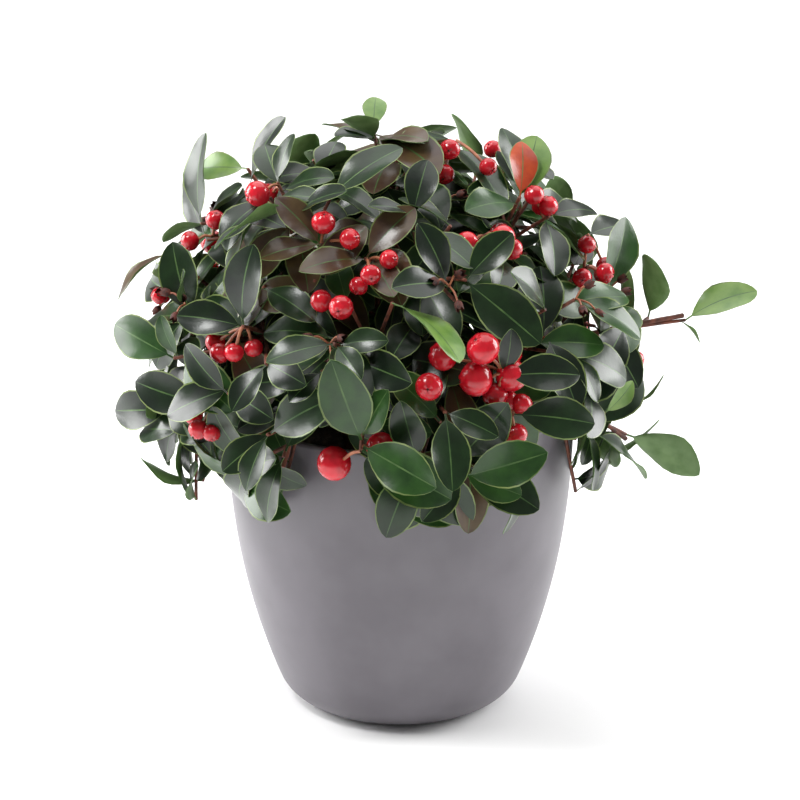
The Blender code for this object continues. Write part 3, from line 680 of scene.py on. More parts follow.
def add_leaf(mass, root, along, length, face, placed, shoot, sections):
    """Adds one leaf if it fits, and says whether it did."""
    face = (face - along * face.dot(along)).normalized()
    leaf = Leaf(root, root + along * length, face, length * LEAF_SLENDER, sections)
    room = leaf_room(leaf, LEAF_ROOM)
    low = leaf.tip.z < LOWEST_TIP or over_bare_rim(room[0])
    if not mass.holds([leaf.tip]) or (sections == PLAIN_LEAF and low):
        return False
    if not placed.fits(mass.name, room, leaf_room(leaf, OWN_LEAF_ROOM, BLADE_START), shoot):
        return False
    mass.leaves.append(leaf)
    placed.add((mass.name, "leaf"), leaf_solid(leaf), leaf_solid(leaf, BLADE_START))
    return True


def root_on(twig, i):
    """Where a shoot's leaf number i is rooted, counted down from its tip."""
    down = (twig.points[-2] - twig.points[-1]).normalized()
    return twig.points[-1] + down * (LEAF_FIRST + LEAF_SPACING * i)


def headed(out, heading, lift):
    """Direction at a heading round out, clockwise from up, and a lift towards it."""
    right = Vector((-out.y, out.x, 0))
    right = right.normalized() if right.length > POLE else Vector((1, 0, 0))
    rise = out.cross(right)
    flat = rise * cos(radians(heading)) + right * sin(radians(heading))
    return flat * cos(radians(lift)) + out * sin(radians(lift))


def whorl_by_hand(mass, whorl, placed):
    """A shoot with the leaves that show in one whorl."""
    name, turn, tilt, depth, leaves = whorl
    out = outward_at(turn, tilt)
    shoot = add_shoot(mass, on_crown(turn, tilt, depth), placed, (name, depth))
    if shoot is None:
        return
    for i, (heading, lift, length, roll) in enumerate(leaves):
        root = root_on(mass.twigs[-1], i)
        for swing, raised in TRIES:
            along = headed(out, heading + swing, lift + raised)
            face = Matrix.Rotation(radians(roll), 3, along) @ (out + UP * SHOWN_FACE_UP)
            if add_leaf(mass, root, along, length, face, placed, shoot, FINE_LEAF):
                mass.seen[len(mass.leaves) - 1] = (name, i)
                break


def whorl_by_rule(mass, turn, tilt, depth, key, placed, chance):
    """A shoot with leaves spread round it by the golden angle."""
    place = on_crown(turn, tilt, depth)
    shoot = add_shoot(mass, place, placed, key)
    if shoot is None:
        return
    before = len(mass.leaves)
    leaves_by_rule(mass, mass.twigs[-1], outward_at(turn, tilt), placed, shoot, chance)
    if len(mass.leaves) == before:
        mass.twigs.pop()
        mass.owners.pop()
        placed.items = [item for item in placed.items if item[0] != shoot]


def leaves_by_rule(mass, twig, out, placed, shoot, chance):
    """Leaves round a twig's tip, each turned by the golden angle from the one before."""
    heading = chance.uniform(0, 360)
    for i in range(LEAVES_BY_RULE):
        heading += GOLDEN
        root = root_on(twig, i)
        length = chance.uniform(*LEAF_LENGTH)
        lift = chance.uniform(*LEAF_LIFTS) - LEAF_DROP * i
        roll = chance.uniform(*LEAF_ROLLS)
        for attempt in range(LEAF_TRIES):
            turned_on = heading + LEAF_TRY_TURN * attempt
            along = headed(out, turned_on, lift - LEAF_TRY_SINK * attempt)
            along = (along - UP * LEAF_SAG).normalized()
            face = Matrix.Rotation(radians(roll), 3, along) @ (out + UP * RULE_FACE_UP)
            if add_leaf(mass, root, along, length - attempt, face, placed, shoot, PLAIN_LEAF):
                break


def nearest_shoot(mass, place):
    """The shoot whose tip is nearest to a place and close enough to hang berries from."""
    near = [(twig.points[-1] - place).length for twig in mass.twigs[1:]]
    if not near or min(near) > STALK_REACH:
        return None, None
    i = near.index(min(near))
    return mass.twigs[i + 1], mass.owners[i]


def add_berries(mass, turn, tilt, depth, count, radius, key, placed, chance):
    """A shoot with berries that hang round its tip on short stalks."""
    out = outward_at(turn, tilt)
    place = on_crown(turn, tilt, depth + BERRY_DEEPER)
    twig, shoot = nearest_shoot(mass, place)
    if twig is None:
        shoot = add_shoot(mass, place, placed, ("berries", key))
        twig = mass.twigs[-1]
    if shoot is None:
        return
    first_lift, lift_step, lift_span = BERRY_LIFTS
    made = 0
    for i in range(count * BERRY_TRIES):
        if made == count:
            break
        size = radius * (1 - BERRY_SHRINK * made / count) * chance.uniform(*BERRY_SIZES)
        along = headed(out, 180 + GOLDEN * i, first_lift - lift_step * i % lift_span)
        along = (along - UP * BERRY_SAG).normalized()
        middle = place + along * (size + BERRY_OFF[0] + BERRY_OFF[1] * i)
        berry = Berry(middle, size, root_on(twig, BERRY_HOOKS[0] + made * BERRY_HOOKS[1]))
        room = berry_solid(berry, SHOOT_ROOM)
        if not mass.holds([middle]) or over_bare_rim(room[0]):
            continue
        own_room = berry_solid(berry, OWN_BERRY_ROOM, stalk=False)
        if not placed.fits(mass.name, room, own_room, shoot):
            continue
        mass.berries.append(berry)
        placed.add((mass.name, "berry"), berry_solid(berry), berry_solid(berry, stalk=False))
        made += 1


# Layout of the whole shrub


def make_masses():
    """The foliage masses with their stems, and where the stem below each one begins."""
    masses = []
    feet = []
    for ring in RINGS:
        for i in range(ring.count):
            turn = ring.turn + 360 * i / ring.count
            name = ring.name if ring.count == 1 else f"{ring.name}_{i + 1}"
            root = on_crown(turn, ring.root_tilt, ring.root_depth)
            heading = (outward_at(turn, ring.root_tilt) + UP * STEM_UP).normalized()
            tip = on_crown(turn, ring.tilt, ring.depth)
            masses.append(Mass(name, root, heading, tip, MASS_SPACE))
            feet.append(outward_at(turn, 0) * ring.foot)
    for name, root_place, tip_place, foot in OUTLIERS:
        root = on_crown(*root_place)
        tip = on_crown(*tip_place)
        masses.append(Mass(name, root, (tip - root).normalized(), tip, SPRAY_SPACE))
        feet.append(outward_at(root_place[0], 0) * foot)
    return masses, feet


def stem_path(mass, foot):
    """Points of the stem from the soil to just short of a mass."""
    height = SOIL_HEIGHT + SOIL_CROWN + GAP
    start = Vector((foot.x, foot.y, height))
    end = mass.stem.points[0] - mass.heading * GAP
    path = bend(end, -mass.heading, start, 4)[::-1]
    path[0].z = height
    return path


def nearest(masses, point):
    """The mass whose middle is nearest to a point."""
    return min(masses, key=lambda mass: (mass.middle - point).length)


def by_ring(dome):
    """Each mass of the dome with its ring and its number there."""
    first = 0
    for ring in RINGS:
        for i, mass in enumerate(dome[first : first + ring.count]):
            yield ring, i, mass
        first += ring.count


def grow(masses, placed):
    """Fills the masses with the whorls and berries that show, then with the rest by rule."""
    chance = Random(SEED)
    dome = masses[: -len(OUTLIERS)]
    for whorl in SPRAY_WHORLS:
        mass = next(mass for mass in masses if mass.name == whorl[0])
        whorl_by_hand(mass, whorl, placed)
    for whorl in WHORLS:
        mass = nearest(dome, on_crown(*whorl[1:4]))
        whorl_by_hand(mass, whorl, placed)
    for name, turn, tilt, depth, count, radius in CLUSTERS:
        mass = nearest(dome, on_crown(turn, tilt, depth))
        add_berries(mass, turn, tilt, depth, count, radius, name, placed, chance)
    for i in range(BACK_CLUSTERS):
        turn = BACK_TURNS[0] + BACK_TURNS[1] * (i + 0.5) / BACK_CLUSTERS
        tilt = BACK_TILTS[0] + BACK_TILTS[1] * (i * GOLDEN_PART % 1)
        mass = nearest(dome, on_crown(turn, tilt, BACK_DEPTHS[0]))
        add_berries(mass, turn, tilt, BACK_DEPTHS[1], 1 + i % 3, BACK_RADIUS, i, placed, chance)
    for k in range(max(ring.shoots for ring in RINGS)):
        for ring, i, mass in by_ring(dome):
            if k < ring.shoots:
                shoot_by_rule(mass, ring, i, k, placed, chance)


def round_mass(ring, i, spin, reach, narrowest):
    """Turn and tilt at a spin and reach round a ring's mass number i."""
    tilt = ring.tilt + reach * sin(spin)
    aside = reach * cos(spin) / max(cos(radians(tilt)), narrowest)
    return ring.turn + 360 * i / ring.count + aside, tilt


def shoot_by_rule(mass, ring, i, k, placed, chance):
    """Shoot number k of a ring's mass number i, spread round the mass like seeds in a head."""
    spin = radians(GOLDEN * k + chance.uniform(*SHOOT_SPINS))
    reach = ring.spread * sqrt((k + 0.5) / ring.shoots)
    turn, tilt = round_mass(ring, i, spin, reach, SHOOT_NARROWEST)
    whorl_by_rule(mass, turn, tilt, chance.uniform(*SHOOT_DEPTHS), k, placed, chance)


# Turned pieces


def turned(profile, sides):
    """Solid turned round the pot's axis, from pairs of radius and height."""
    return skin([level_ring(radius, height, sides if radius else 1) for radius, height in profile])


def pot_wall(height):
    """Outer radius of the pot at a height."""
    wall = POT_RADIUS - (POT_RADIUS - POT_FOOT_RADIUS) * (1 - height / POT_HEIGHT) ** POT_CURVE
    under = max(1 - height / POT_CORNER, 0)
    return wall - POT_CORNER * (1 - sqrt(1 - under**2))


def pot_heights(steps):
    """Heights of the wall's rings, closer together near the foot."""
    return [POT_HEIGHT * (i / steps) ** FOOT_CROWDING for i in range(steps + 1)]


def pot_rim(angles):
    """Points over the rounded lip at these angles, from outside to inside."""
    lip = POT_WALL / 2
    middle = pot_wall(POT_HEIGHT - lip) - lip
    arc = [radians(a) for a in angles]
    return [(middle + lip * cos(a), POT_HEIGHT - lip + lip * sin(a)) for a in arc]


def pot_profile():
    """Outline of the pot's solid from its underside, over the rim, to its floor."""
    heights = pot_heights(POT_STEPS)[:-1] + [POT_HEIGHT - POT_WALL / 2]
    outer = [(pot_wall(z), z) for z in heights]
    inside = sorted([z for z in heights[3::2] if z > INNER_FOOT] + [SOIL_HEIGHT], reverse=True)
    inner = [(pot_wall(z) - POT_WALL, z) for z in inside]
    floor = [(pot_wall(INNER_FOOT) - POT_WALL - FLOOR_INSET, POT_FLOOR)]
    return outer + pot_rim(POT_LIP_ANGLES) + inner + floor


def fine_pot_profile():
    """The pot's outline with closer rings and a rounder lip."""
    heights = [z for z in pot_heights(FINE_POT_STEPS) if z < POT_HEIGHT - POT_WALL / 2]
    outer = [(POT_PIN, 0.0)] + [(pot_wall(z), z) for z in heights]
    inner = [(pot_wall(z) - POT_WALL, z) for z in FINE_INNER_HEIGHTS]
    return outer + pot_rim(FINE_LIP_ANGLES) + inner


def soil_profile():
    """Outline of the soil's solid, a little clear of the pot."""
    highest = SOIL_HEIGHT - SOIL_EDGE_ROOM
    inside = [(r, z) for r, z in pot_profile()[POT_LIP_END:] if z < highest][::-1]
    sides = [(r - SOIL_GAP, z + (GAP if i == 0 else 0)) for i, (r, z) in enumerate(inside)]
    edge = pot_wall(SOIL_HEIGHT) - POT_WALL - SOIL_GAP
    crown = SOIL_HEIGHT + SOIL_CROWN
    return sides + [(edge, SOIL_HEIGHT), (edge * SOIL_FLAT, crown), (0, crown)]


# Shoots, leaves and berries that have no solid


def fill_masses(masses, shoots, placed):
    """More whorls by the same rule, deeper and deeper, until the crown is dense."""
    chance = Random(SEED + 1)
    dome = masses[: -len(OUTLIERS)]
    for k in range(shoots):
        for ring, i, mass in by_ring(dome):
            spin = radians(GOLDEN * (k + FILL_FIRST) + chance.uniform(*FILL_SPINS))
            reach = FILL_SPREAD * sqrt((k + 0.5) / shoots)
            turn, tilt = round_mass(ring, i, spin, reach, FILL_NARROWEST)
            depth = FILL_DEPTHS[k % len(FILL_DEPTHS)] + chance.uniform(*FILL_STRAYS)
            whorl_by_rule(mass, turn, tilt, depth, ("fill", k), placed, chance)


def add_more_berries(masses):
    """Single berries that show, each hung from the shoot's tip nearest above it."""
    tips = [twig.points[-1] for mass in masses for twig in mass.twigs[1:]]
    for turn, tilt, depth, radius in MORE_BERRIES:
        middle = on_crown(turn, tilt, depth)
        hook = min(tips, key=lambda point: (point - middle - UP * radius).length)
        nearest(masses, middle).berries.append(Berry(middle, radius, hook))


def grown_masses(shoots):
    """Every mass with its shoots, leaves and berries, and the paths of the stems below."""
    placed = Placed()
    placed.add(("pot", "wall"), turned(pot_profile(), POT_SIDES))
    placed.add(("soil", "top"), turned(soil_profile(), POT_SIDES))
    masses, feet = make_masses()
    paths = []
    for mass, foot in zip(masses, feet):
        path = stem_path(mass, foot)
        radii = tapered(STEM_RADIUS, STEM_TIP_RADIUS, len(path))
        radii[0] = STEM_FLARE
        placed.add((f"stem_{mass.name}", "stem"), tube(path, radii, STEM_SIDES, UP, mass.heading))
        placed.add((mass.name, "stem"), twig_solid(mass.stem))
        paths.append(path)
    grow(masses, placed)
    add_more_berries(masses)
    fill_masses(masses, shoots, placed)
    return masses, paths


# Materials


def linear(colour):
    """Linear colour from an sRGB hex text. A colour of the settings is linear already."""
    if not isinstance(colour, str):
        return [*colour, 1]
    values = [int(colour[i : i + 2], 16) / 255 for i in (1, 3, 5)]
    return [v / 12.92 if v <= 0.04045 else ((v + 0.055) / 1.055) ** 2.4 for v in values] + [1]


def add_node(tree, kind, **inputs):
    """Adds a node. Its inputs are values, or (node, output) pairs to link from."""
    made = tree.nodes.new(kind)
    for name, value in inputs.items():
        socket = made.inputs[name.replace("_", " ")]
        if isinstance(value, tuple) and isinstance(value[0], bpy.types.Node):
            tree.links.new(value[0].outputs[value[1]], socket)
        else:
            socket.default_value = value
    return made


def surface(name, colours, roughness, size_mm, bump=0.0, bump_mm=1.0, **shader_values):
    """Material whose colour wanders between two colours over patches of size_mm, with a
    grain of bump_mm where bump is set."""
    made = bpy.data.materials.new(name)
    made.use_nodes = True
    tree = made.node_tree
    shader = tree.nodes["Principled BSDF"]
    shader.inputs["Roughness"].default_value = roughness
    for key, value in shader_values.items():
        shader.inputs[key.replace("_", " ")].default_value = value
    place = (add_node(tree, "ShaderNodeTexCoord"), "Object")
    scale = PER_METRE / size_mm
    patches = add_node(tree, "ShaderNodeTexNoise", Vector=place, Scale=scale, Detail=PATCH_DETAIL)
    ramp = add_node(tree, "ShaderNodeValToRGB", Fac=(patches, "Fac"))
    for stop, edge, colour in zip(ramp.color_ramp.elements, PATCH_EDGES, colours):
        stop.position = edge
        stop.color = linear(colour)
    tree.links.new(ramp.outputs["Color"], shader.inputs["Base Color"])
    if bump:
        scale = PER_METRE / bump_mm
        grain = add_node(tree, "ShaderNodeTexNoise", Vector=place, Scale=scale, Detail=GRAIN_DETAIL)
        high = bump_mm * MM / GRAIN_HEIGHT
        fine = add_node(
            tree, "ShaderNodeBump", Height=(grain, "Fac"), Strength=bump, Distance=high
        )
        tree.links.new(fine.outputs["Normal"], shader.inputs["Normal"])
    return made


def leaf_materials():
    """Materials of the leaves: upper sides, then under side, margin and midrib."""
    made = {}
    for name, colours, share in LEAF_KINDS:
        # Waxy leaf skin, smooth and a little leathery: a broad soft shine with a thin gloss
        made[name] = surface(
            name, colours, roughness=0.29, size_mm=9, bump=0.12, bump_mm=0.9,
            IOR=1.43, Coat_Weight=0.1, Coat_Roughness=0.14,
        )
    # Leaf skin without wax: pale and matt, with a faint grain
    made["under"] = surface(
        "leaf_under_side", ("#56743f", "#6d8a55"),
        roughness=0.5, size_mm=7, bump=0.1, bump_mm=0.8, IOR=1.45,
    )
    # Thin leaf edge: the light that it lets in is painted into its colour as a pale line
    made["margin"] = surface(
        "leaf_margin_painted_light", ("#566b38", "#76844c"), roughness=0.38, size_mm=5, IOR=1.45
    )
    # Main vein under smooth skin: a lighter green line down the blade
    made["midrib"] = surface(
        "leaf_midrib", ("#35502a", "#4d6838"), roughness=0.36, size_mm=5, IOR=1.45
    )
    return made


def plant_materials():
    """Materials of stems, stalks, berries and dried flowers, by kind of face."""
    made = {}
    # Young woody bark, rough: matt red-brown with a fine uneven grain
    made["bark"] = surface(
        "reddish_bark", ("#4a2a20", "#7d4430"), roughness=0.62, size_mm=3, bump=0.5, bump_mm=0.6
    )
    # Soft stalk with smooth skin: a dull sheen, lighter than the bark
    made["stalk"] = surface("berry_stalk", ("#8a4a34", "#a86a48"), roughness=0.5, size_mm=4)
    # Berry skin, thin and glossy over soft flesh: small sharp highlights on deep red
    made["berry"] = surface(
        "berry_skin", ("#a50d1c", settings().berry_colour),
        roughness=0.2, size_mm=7, bump=0.04, bump_mm=1.0,
        IOR=1.42, Coat_Weight=0.4, Coat_Roughness=0.08,
    )
    # Dried flower leaves, papery and wrinkled: dark brown without shine
    made["dry"] = surface(
        "dried_calyx", ("#2a120c", "#5c2415"), roughness=0.7, size_mm=1.5, bump=0.4, bump_mm=0.5
    )
    # Fresh star sunk in the berry's tip, smooth skin: a darker red that is painted shade of its
    # hollow
    made["berry_shade"] = surface("berry_star_painted_shade", ("#5a0a10", "#7d1018"), roughness=0.5, size_mm=3)
    return made


# Meshes


def new_object(name, data):
    """An object of a mesh, light or camera, in the scene."""
    made = bpy.data.objects.new(name, data)
    bpy.context.scene.collection.objects.link(made)
    return made


class Sheet:
    """Faces gathered for one joined piece, with a material for each."""

    def __init__(self):
        self.points = []
        self.faces = []
        self.kinds = []

    def add_grid(self, rows, kinds, closed=False):
        """Quads between rows of points, each strip with its kind of material."""
        start = len(self.points)
        across = len(rows[0])
        for row in rows:
            self.points.extend(row)
        for i in range(len(rows) - 1):
            for j in range(across if closed else across - 1):
                a = start + i * across + j
                b = start + i * across + (j + 1) % across
                self.faces.append((a, b, b + across, a + across))
                self.kinds.append(kinds[j % len(kinds)])

    def add_fan(self, middle, ring, kind):
        """Triangles from a point to a ring of points."""
        start = len(self.points)
        self.points.append(middle)
        self.points.extend(ring)
        for i in range(len(ring)):
            self.faces.append((start, start + 1 + i, start + 1 + (i + 1) % len(ring)))
            self.kinds.append(kind)

    def make(self, name, materials):
        """The piece as an object in metres."""
        mesh = bpy.data.meshes.new(name)
        mesh.from_pydata([point * MM for point in self.points], [], self.faces)
        kinds = sorted(set(self.kinds))
        for kind in kinds:
            mesh.materials.append(materials[kind])
        mesh.polygons.foreach_set("material_index", [kinds.index(kind) for kind in self.kinds])
        mesh.shade_smooth()
        return new_object(name, mesh)


def add_tube(sheet, points, radii, sides, kind, relief=0.0):
    """A fine tube along a path, with knobbly bark where relief is set."""
    side = (points[1] - points[0]).orthogonal().normalized()
    rows = []
    for i, (point, radius) in enumerate(zip(points, radii)):
        heading = (points[min(i + 1, len(points) - 1)] - points[max(i - 1, 0)]).normalized()
        side = (side - heading * side.dot(heading)).normalized()
        ring = ring_round(point, heading, side, radius, sides)
        rows.append([p + (p - point) * relief * noise.noise(p * KNOB_CLOSENESS) for p in ring])
    sheet.add_grid(rows, [kind], closed=True)
    sheet.add_fan(points[-1] + heading * radii[-1] * TIP_LENGTH, rows[-1], kind)


def smooth_path(points, steps):
    """More points along a path, rounded at its corners."""
    made = []
    for i in range(len(points) - 1):
        a, b = points[i], points[i + 1]
        before = points[i - 1] if i else a * 2 - b
        after = points[i + 2] if i + 2 < len(points) else b * 2 - a
        for step in range(steps):
            t = step / steps
            first = (b - before) * t
            second = (before * 2 - a * 5 + b * 4 - after) * t * t
            third = (a * 3 - before - b * 3 + after) * t**3
            made.append((a * 2 + first + second + third) / 2)
    return made + [points[-1]]


def half_width(t):
    """Half width of a leaf along its length, for its widest."""
    if t <= PETIOLE:
        return PETIOLE_HALF
    u = (t - PETIOLE) / (1 - PETIOLE)
    return max(sin(pi * u**BLADE_SKEW), 0) ** BLADE_FULLNESS if u < 1 else 0.0


def add_leaf_mesh(sheet, leaf, kind, curl, twist):
    """A curved leaf with a pale margin of painted light, a pale midrib, and a paler under side."""
    chord = leaf.tip - leaf.root
    length = chord.length
    side = chord.cross(leaf.face).normalized()
    widest = WIDEST * leaf.width
    top = []
    under = []
    for t in ALONG:
        half = widest * half_width(t)
        rise = length * (4 * LEAF_ARCH * t * (1 - t) - curl * t * t)
        middle = leaf.root + chord * t + leaf.face * rise
        turn = Matrix.Rotation(twist * t, 3, chord)
        wide = turn @ side
        lift = turn @ leaf.face
        row = []
        for x in ACROSS:
            fold = CUP * half * abs(x) ** CUP_POWER
            wave = WAVE * length * sin(WAVE_ALONG * t + WAVE_ASIDE * x)
            wave = wave * abs(x) ** WAVE_POWER * min(half / widest, 1)
            row.append(middle + wide * (half * x) + lift * (fold + wave))
        top.append(row)
        under.append([row[0], *(point - lift * BLADE_THICKNESS for point in row[1:-1]), row[-1]])
    sheet.add_grid(top, [kind if strip == "blade" else strip for strip in STRIPS])
    sheet.add_grid([row[::-1] for row in under], ["under"])


def add_berry_mesh(sheet, berry, dry):
    """A fleshy berry whose five lobes close round a small sunken star, dried brown on some berries
    and dark with painted shade on the rest.
    """
    axis = (berry.hook - berry.middle).normalized()
    side = axis.orthogonal().normalized()
    across = axis.cross(side)
    rows = []
    for i in range(BERRY_RINGS + 1):
        tilt = pi / 2 - (pi / 2 - STAR_TILT) * i / BERRY_RINGS
        low = max(-tilt - LOBES_START, 0)
        row = []
        for k in range(BERRY_AROUND):
            a = 2 * pi * k / BERRY_AROUND
            lobe = 1 + BERRY_LOBE * low * cos(BERRY_LOBES * a)
            out = side * cos(a) + across * sin(a)
            place = out * cos(tilt) * BERRY_WIDE + axis * sin(tilt) * BERRY_TALL
            row.append(berry.middle + place * berry.radius * lobe)
        rows.append(row)
    sheet.add_grid(rows, ["berry"], closed=True)
    inner = []
    for k, point in enumerate(rows[-1]):
        depth, part = STAR_NOTCH if k % (BERRY_AROUND // BERRY_LOBES) else STAR_POINT
        inner.append(point.lerp(berry.middle - axis * berry.radius * depth, part))
    sheet.add_grid([rows[-1], inner], ["berry"], closed=True)
    # The star's floor is dried brown where dry, and painted shade of the hollow elsewhere
    centre = berry.middle - axis * berry.radius * STAR_FLOOR
    sheet.add_fan(centre, inner, "dry" if dry else "berry_shade")


# Pieces


def leaf_kind(chance):
    """Kind of leaf for a spray, picked by its share."""
    pick = chance.uniform(0, sum(share for name, colours, share in LEAF_KINDS))
    for name, colours, share in LEAF_KINDS:
        pick -= share
        if pick <= 0:
            return "leaf_deep_green" if name in PLACED_ONLY else name
    return LEAF_KINDS[0][0]


def make_leaves(name, masses, materials, seed):
    """All leaves of some masses in one piece."""
    chance = Random(seed)
    sheet = Sheet()
    for mass in masses:
        kind = None
        for i, leaf in enumerate(mass.leaves):
            apart = (leaf.root - mass.leaves[i - 1].root).length
            if kind is None or apart > LEAF_SPACING * SPRAY_BREAK:
                kind = leaf_kind(chance)
            curl = chance.uniform(*CURLS)
            twist = chance.uniform(*TWISTS)
            shown = mass.seen.get(i, (f"grown in {mass.name}", i))
            add_leaf_mesh(sheet, leaf, PLACED_KINDS.get(shown, kind), curl, twist)
    return sheet.make(name, materials)


def used_end(mass, twig):
    """Where the last leaf or berry is rooted on a straight shoot, or None if it is bare."""
    start, end = twig.points
    line = end - start
    ends = []
    for root in [leaf.root for leaf in mass.leaves] + [berry.hook for berry in mass.berries]:
        part = (root - start).dot(line) / line.length_squared
        if 0 < part <= 1 and (start + line * part - root).length < ROOTED:
            ends.append(part)
    return start + line * max(ends) if ends else None


def make_twigs(masses, materials):
    """The masses' own stems and their shoots."""
    sheet = Sheet()
    for mass in masses:
        for twig in mass.twigs:
            if twig is mass.stem:
                points = smooth_path(twig.points, CURVE_STEPS)
                thin = 1.0
            else:
                end = used_end(mass, twig)
                if end is None:
                    continue
                points = smooth_path([twig.points[0], end], LONG_STEPS)
                thin = SHOOT_THIN
            radii = tapered(twig.radius, twig.tip_radius, len(points))
            add_tube(sheet, points, [radius * thin for radius in radii], *TWIG_BARK)
    return sheet.make("twigs", materials)


def make_stems(paths, materials):
    """The stems from the soil to the masses, knobbly and flared at the foot."""
    sheet = Sheet()
    for path in paths:
        points = smooth_path(path, LONG_STEPS)
        radii = tapered(STEM_RADIUS, STEM_TIP_RADIUS, len(points))
        radii[:3] = [STEM_FLARE, (STEM_FLARE + STEM_RADIUS) / 2, STEM_RADIUS * STEM_SWELL]
        add_tube(sheet, points, radii, *STEM_BARK)
    return sheet.make("stems", materials)


def make_berries(masses, materials):
    """Berries on their curved stalks."""
    chance = Random(SEED + 3)
    sheet = Sheet()
    for mass in masses:
        for berry in mass.berries:
            add_berry_mesh(sheet, berry, chance.random() < DRY_STARS)
            up_stalk = (berry.hook - berry.middle).normalized()
            top = berry.middle + up_stalk * berry.radius * STALK_END
            knee = top.lerp(berry.hook, 0.5) + UP * STALK_ARCH
            path = smooth_path([berry.hook, knee, top], CURVE_STEPS)
            add_tube(sheet, path, [BERRY_STALK] * len(path), STALK_SIDES, "stalk")
    return sheet.make("berries", materials)


def make_withered(masses, materials):
    """Small dried flowers on thin stalks, in groups near a shoot's tip."""
    chance = Random(SEED + 4)
    sheet = Sheet()
    tips = [twig.points[-1] for mass in masses for twig in mass.twigs[1:]]
    for turn, tilt, depth in WITHERED:
        place = on_crown(turn, tilt, depth)
        root = min(tips, key=lambda point: (point - place).length)
        for k in range(DRIED_IN_GROUP):
            heading = 360 / DRIED_IN_GROUP * k + chance.uniform(*DRIED_SPINS)
            out = headed(outward_at(turn, tilt), heading, chance.uniform(*DRIED_LIFTS))
            cup = root + out * chance.uniform(*DRIED_REACH) - UP * DRIED_SAG
            knee = root.lerp(cup, DRIED_KNEE) + UP * DRIED_ARCH
            path = smooth_path([root, knee, cup], CURVE_STEPS)
            add_tube(sheet, path, [DRIED_STALK] * len(path), DRIED_STALK_SIDES, "stalk")
            add_calyx(sheet, cup, (cup - knee).normalized())
    return sheet.make("withered_calyces", materials)


def add_calyx(sheet, place, axis):
    """A small cup with five points."""
    side = axis.orthogonal().normalized()
    rows = []
    for height, wide, star in CALYX:
        ring = ring_round(place, axis, side, CALYX_RADIUS * wide, CALYX_SIDES)
        rises = [height + star * (k % 2) for k in range(CALYX_SIDES)]
        rows.append([point + axis * CALYX_RADIUS * rise for point, rise in zip(ring, rises)])
    sheet.add_grid(rows, ["dry"], closed=True)
    sheet.add_fan(place, rows[0][::-1], "dry")
    sheet.add_fan(place + axis * CALYX_RADIUS * CALYX_FLOOR, rows[1], "dry")


def make_turned(name, profile, sides, kind, materials):
    """A finely turned piece from pairs of radius and height."""
    sheet = Sheet()
    rows = [level_ring(radius, height, sides) for radius, height in profile]
    sheet.add_grid(rows, [kind], closed=True)
    return sheet.make(name, materials)


def make_soil(materials):
    """Crumbly soil that meets the pot's wall."""
    edge = pot_wall(SOIL_HEIGHT) - POT_WALL - GAP
    sheet = Sheet()
    rows = []
    for i in range(SOIL_RINGS + 1):
        part = i / SOIL_RINGS
        rise = SOIL_CROWN * (1 - part**SOIL_DOME)
        row = []
        for place in level_ring(edge * max(part, SOIL_PIN), 0, FINE_SOIL_SIDES):
            crumbs = sum(noise.noise(place * close) * high for close, high in CRUMBS)
            row.append(place + UP * (SOIL_HEIGHT + rise + crumbs - SOIL_SETTLED))
        rows.append(row)
    sheet.add_grid(rows[::-1], ["soil"], closed=True)
    return sheet.make("soil_surface", materials)


def node_names(start):
    """Names of the frame's nodes that begin with some text."""
    return [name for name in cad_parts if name.startswith(start)]


def settle(piece, nodes):
    """Attaches a piece to the plant's one body and hides the nodes that it stands for."""
    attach(piece, "root")
    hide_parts(*nodes)


# Settings


class WintergreenSettings(bpy.types.PropertyGroup):
    """Sizes and colours of the plant's pieces."""

    fill: IntProperty(
        name="Finer shoots",
        description="Extra shoots for each mass of foliage",
        default=16,
        min=0,
        max=40,
    )
    pot_sides: IntProperty(
        name="Pot sides", description="Sides of the turned pot", default=144, min=24, max=256
    )
    pot_roughness: FloatProperty(
        name="Pot roughness",
        description="Roughness of the satin glaze",
        subtype="FACTOR",
        default=0.42,
        min=0.0,
        max=1.0,
    )
    pot_colour: FloatVectorProperty(
        name="Pot colour",
        description="Lighter of the two colours of the pot's glaze",
        subtype="COLOR",
        size=3,
        default=linear("#6b676d")[:3],
        min=0.0,
        max=1.0,
    )
    berry_colour: FloatVectorProperty(
        name="Berry colour",
        description="Lighter of the two colours of the berries",
        subtype="COLOR",
        size=3,
        default=linear("#cf1c2c")[:3],
        min=0.0,
        max=1.0,
    )
    camera_distance: FloatProperty(
        name="Camera distance",
        description="From the pot's axis",
        unit="LENGTH",
        default=1.2,
        min=0.5,
        max=5.0,
    )


SETTING_NAMES = (
    "fill", "pot_sides", "pot_roughness", "pot_colour", "berry_colour", "camera_distance",
)


def settings():
    """The scene's settings for this plant."""
    return bpy.context.scene.wintergreen


class WINTERGREEN_OT_pot(bpy.types.Operator):
    """Turn the pot and give it its satin glaze"""

    bl_idname = "wintergreen.pot"
    bl_label = "Pot"

    def execute(self, context):
        # Stoneware under a satin glaze, fired: a wide soft shine, cloudy grey and finely pitted.
        # Its pits are drawn a little coarser than real ones, so that they show.
        colours = ("#625e64", settings().pot_colour)
        rough = settings().pot_roughness
        glaze = surface(
            "satin_grey_stoneware", colours, rough, size_mm=26, bump=0.06, bump_mm=0.7, IOR=1.5
        )
        sides = settings().pot_sides
        pot = make_turned("pot_body", fine_pot_profile(), sides, "glaze", {"glaze": glaze})
        settle(pot, ["pot"])
        return {"FINISHED"}


class WINTERGREEN_OT_soil(bpy.types.Operator):
    """Lay the crumbly potting soil"""

    bl_idname = "wintergreen.soil"
    bl_label = "Soil"

    def execute(self, context):
        # Moist peat, sieved: nearly black brown crumbs without shine
        peat = surface(
            "potting_peat", ("#150f0b", "#35261a"),
            roughness=0.95, size_mm=2.5, bump=0.9, bump_mm=1.2,
        )
        settle(make_soil({"soil": peat}), ["soil"])
        return {"FINISHED"}


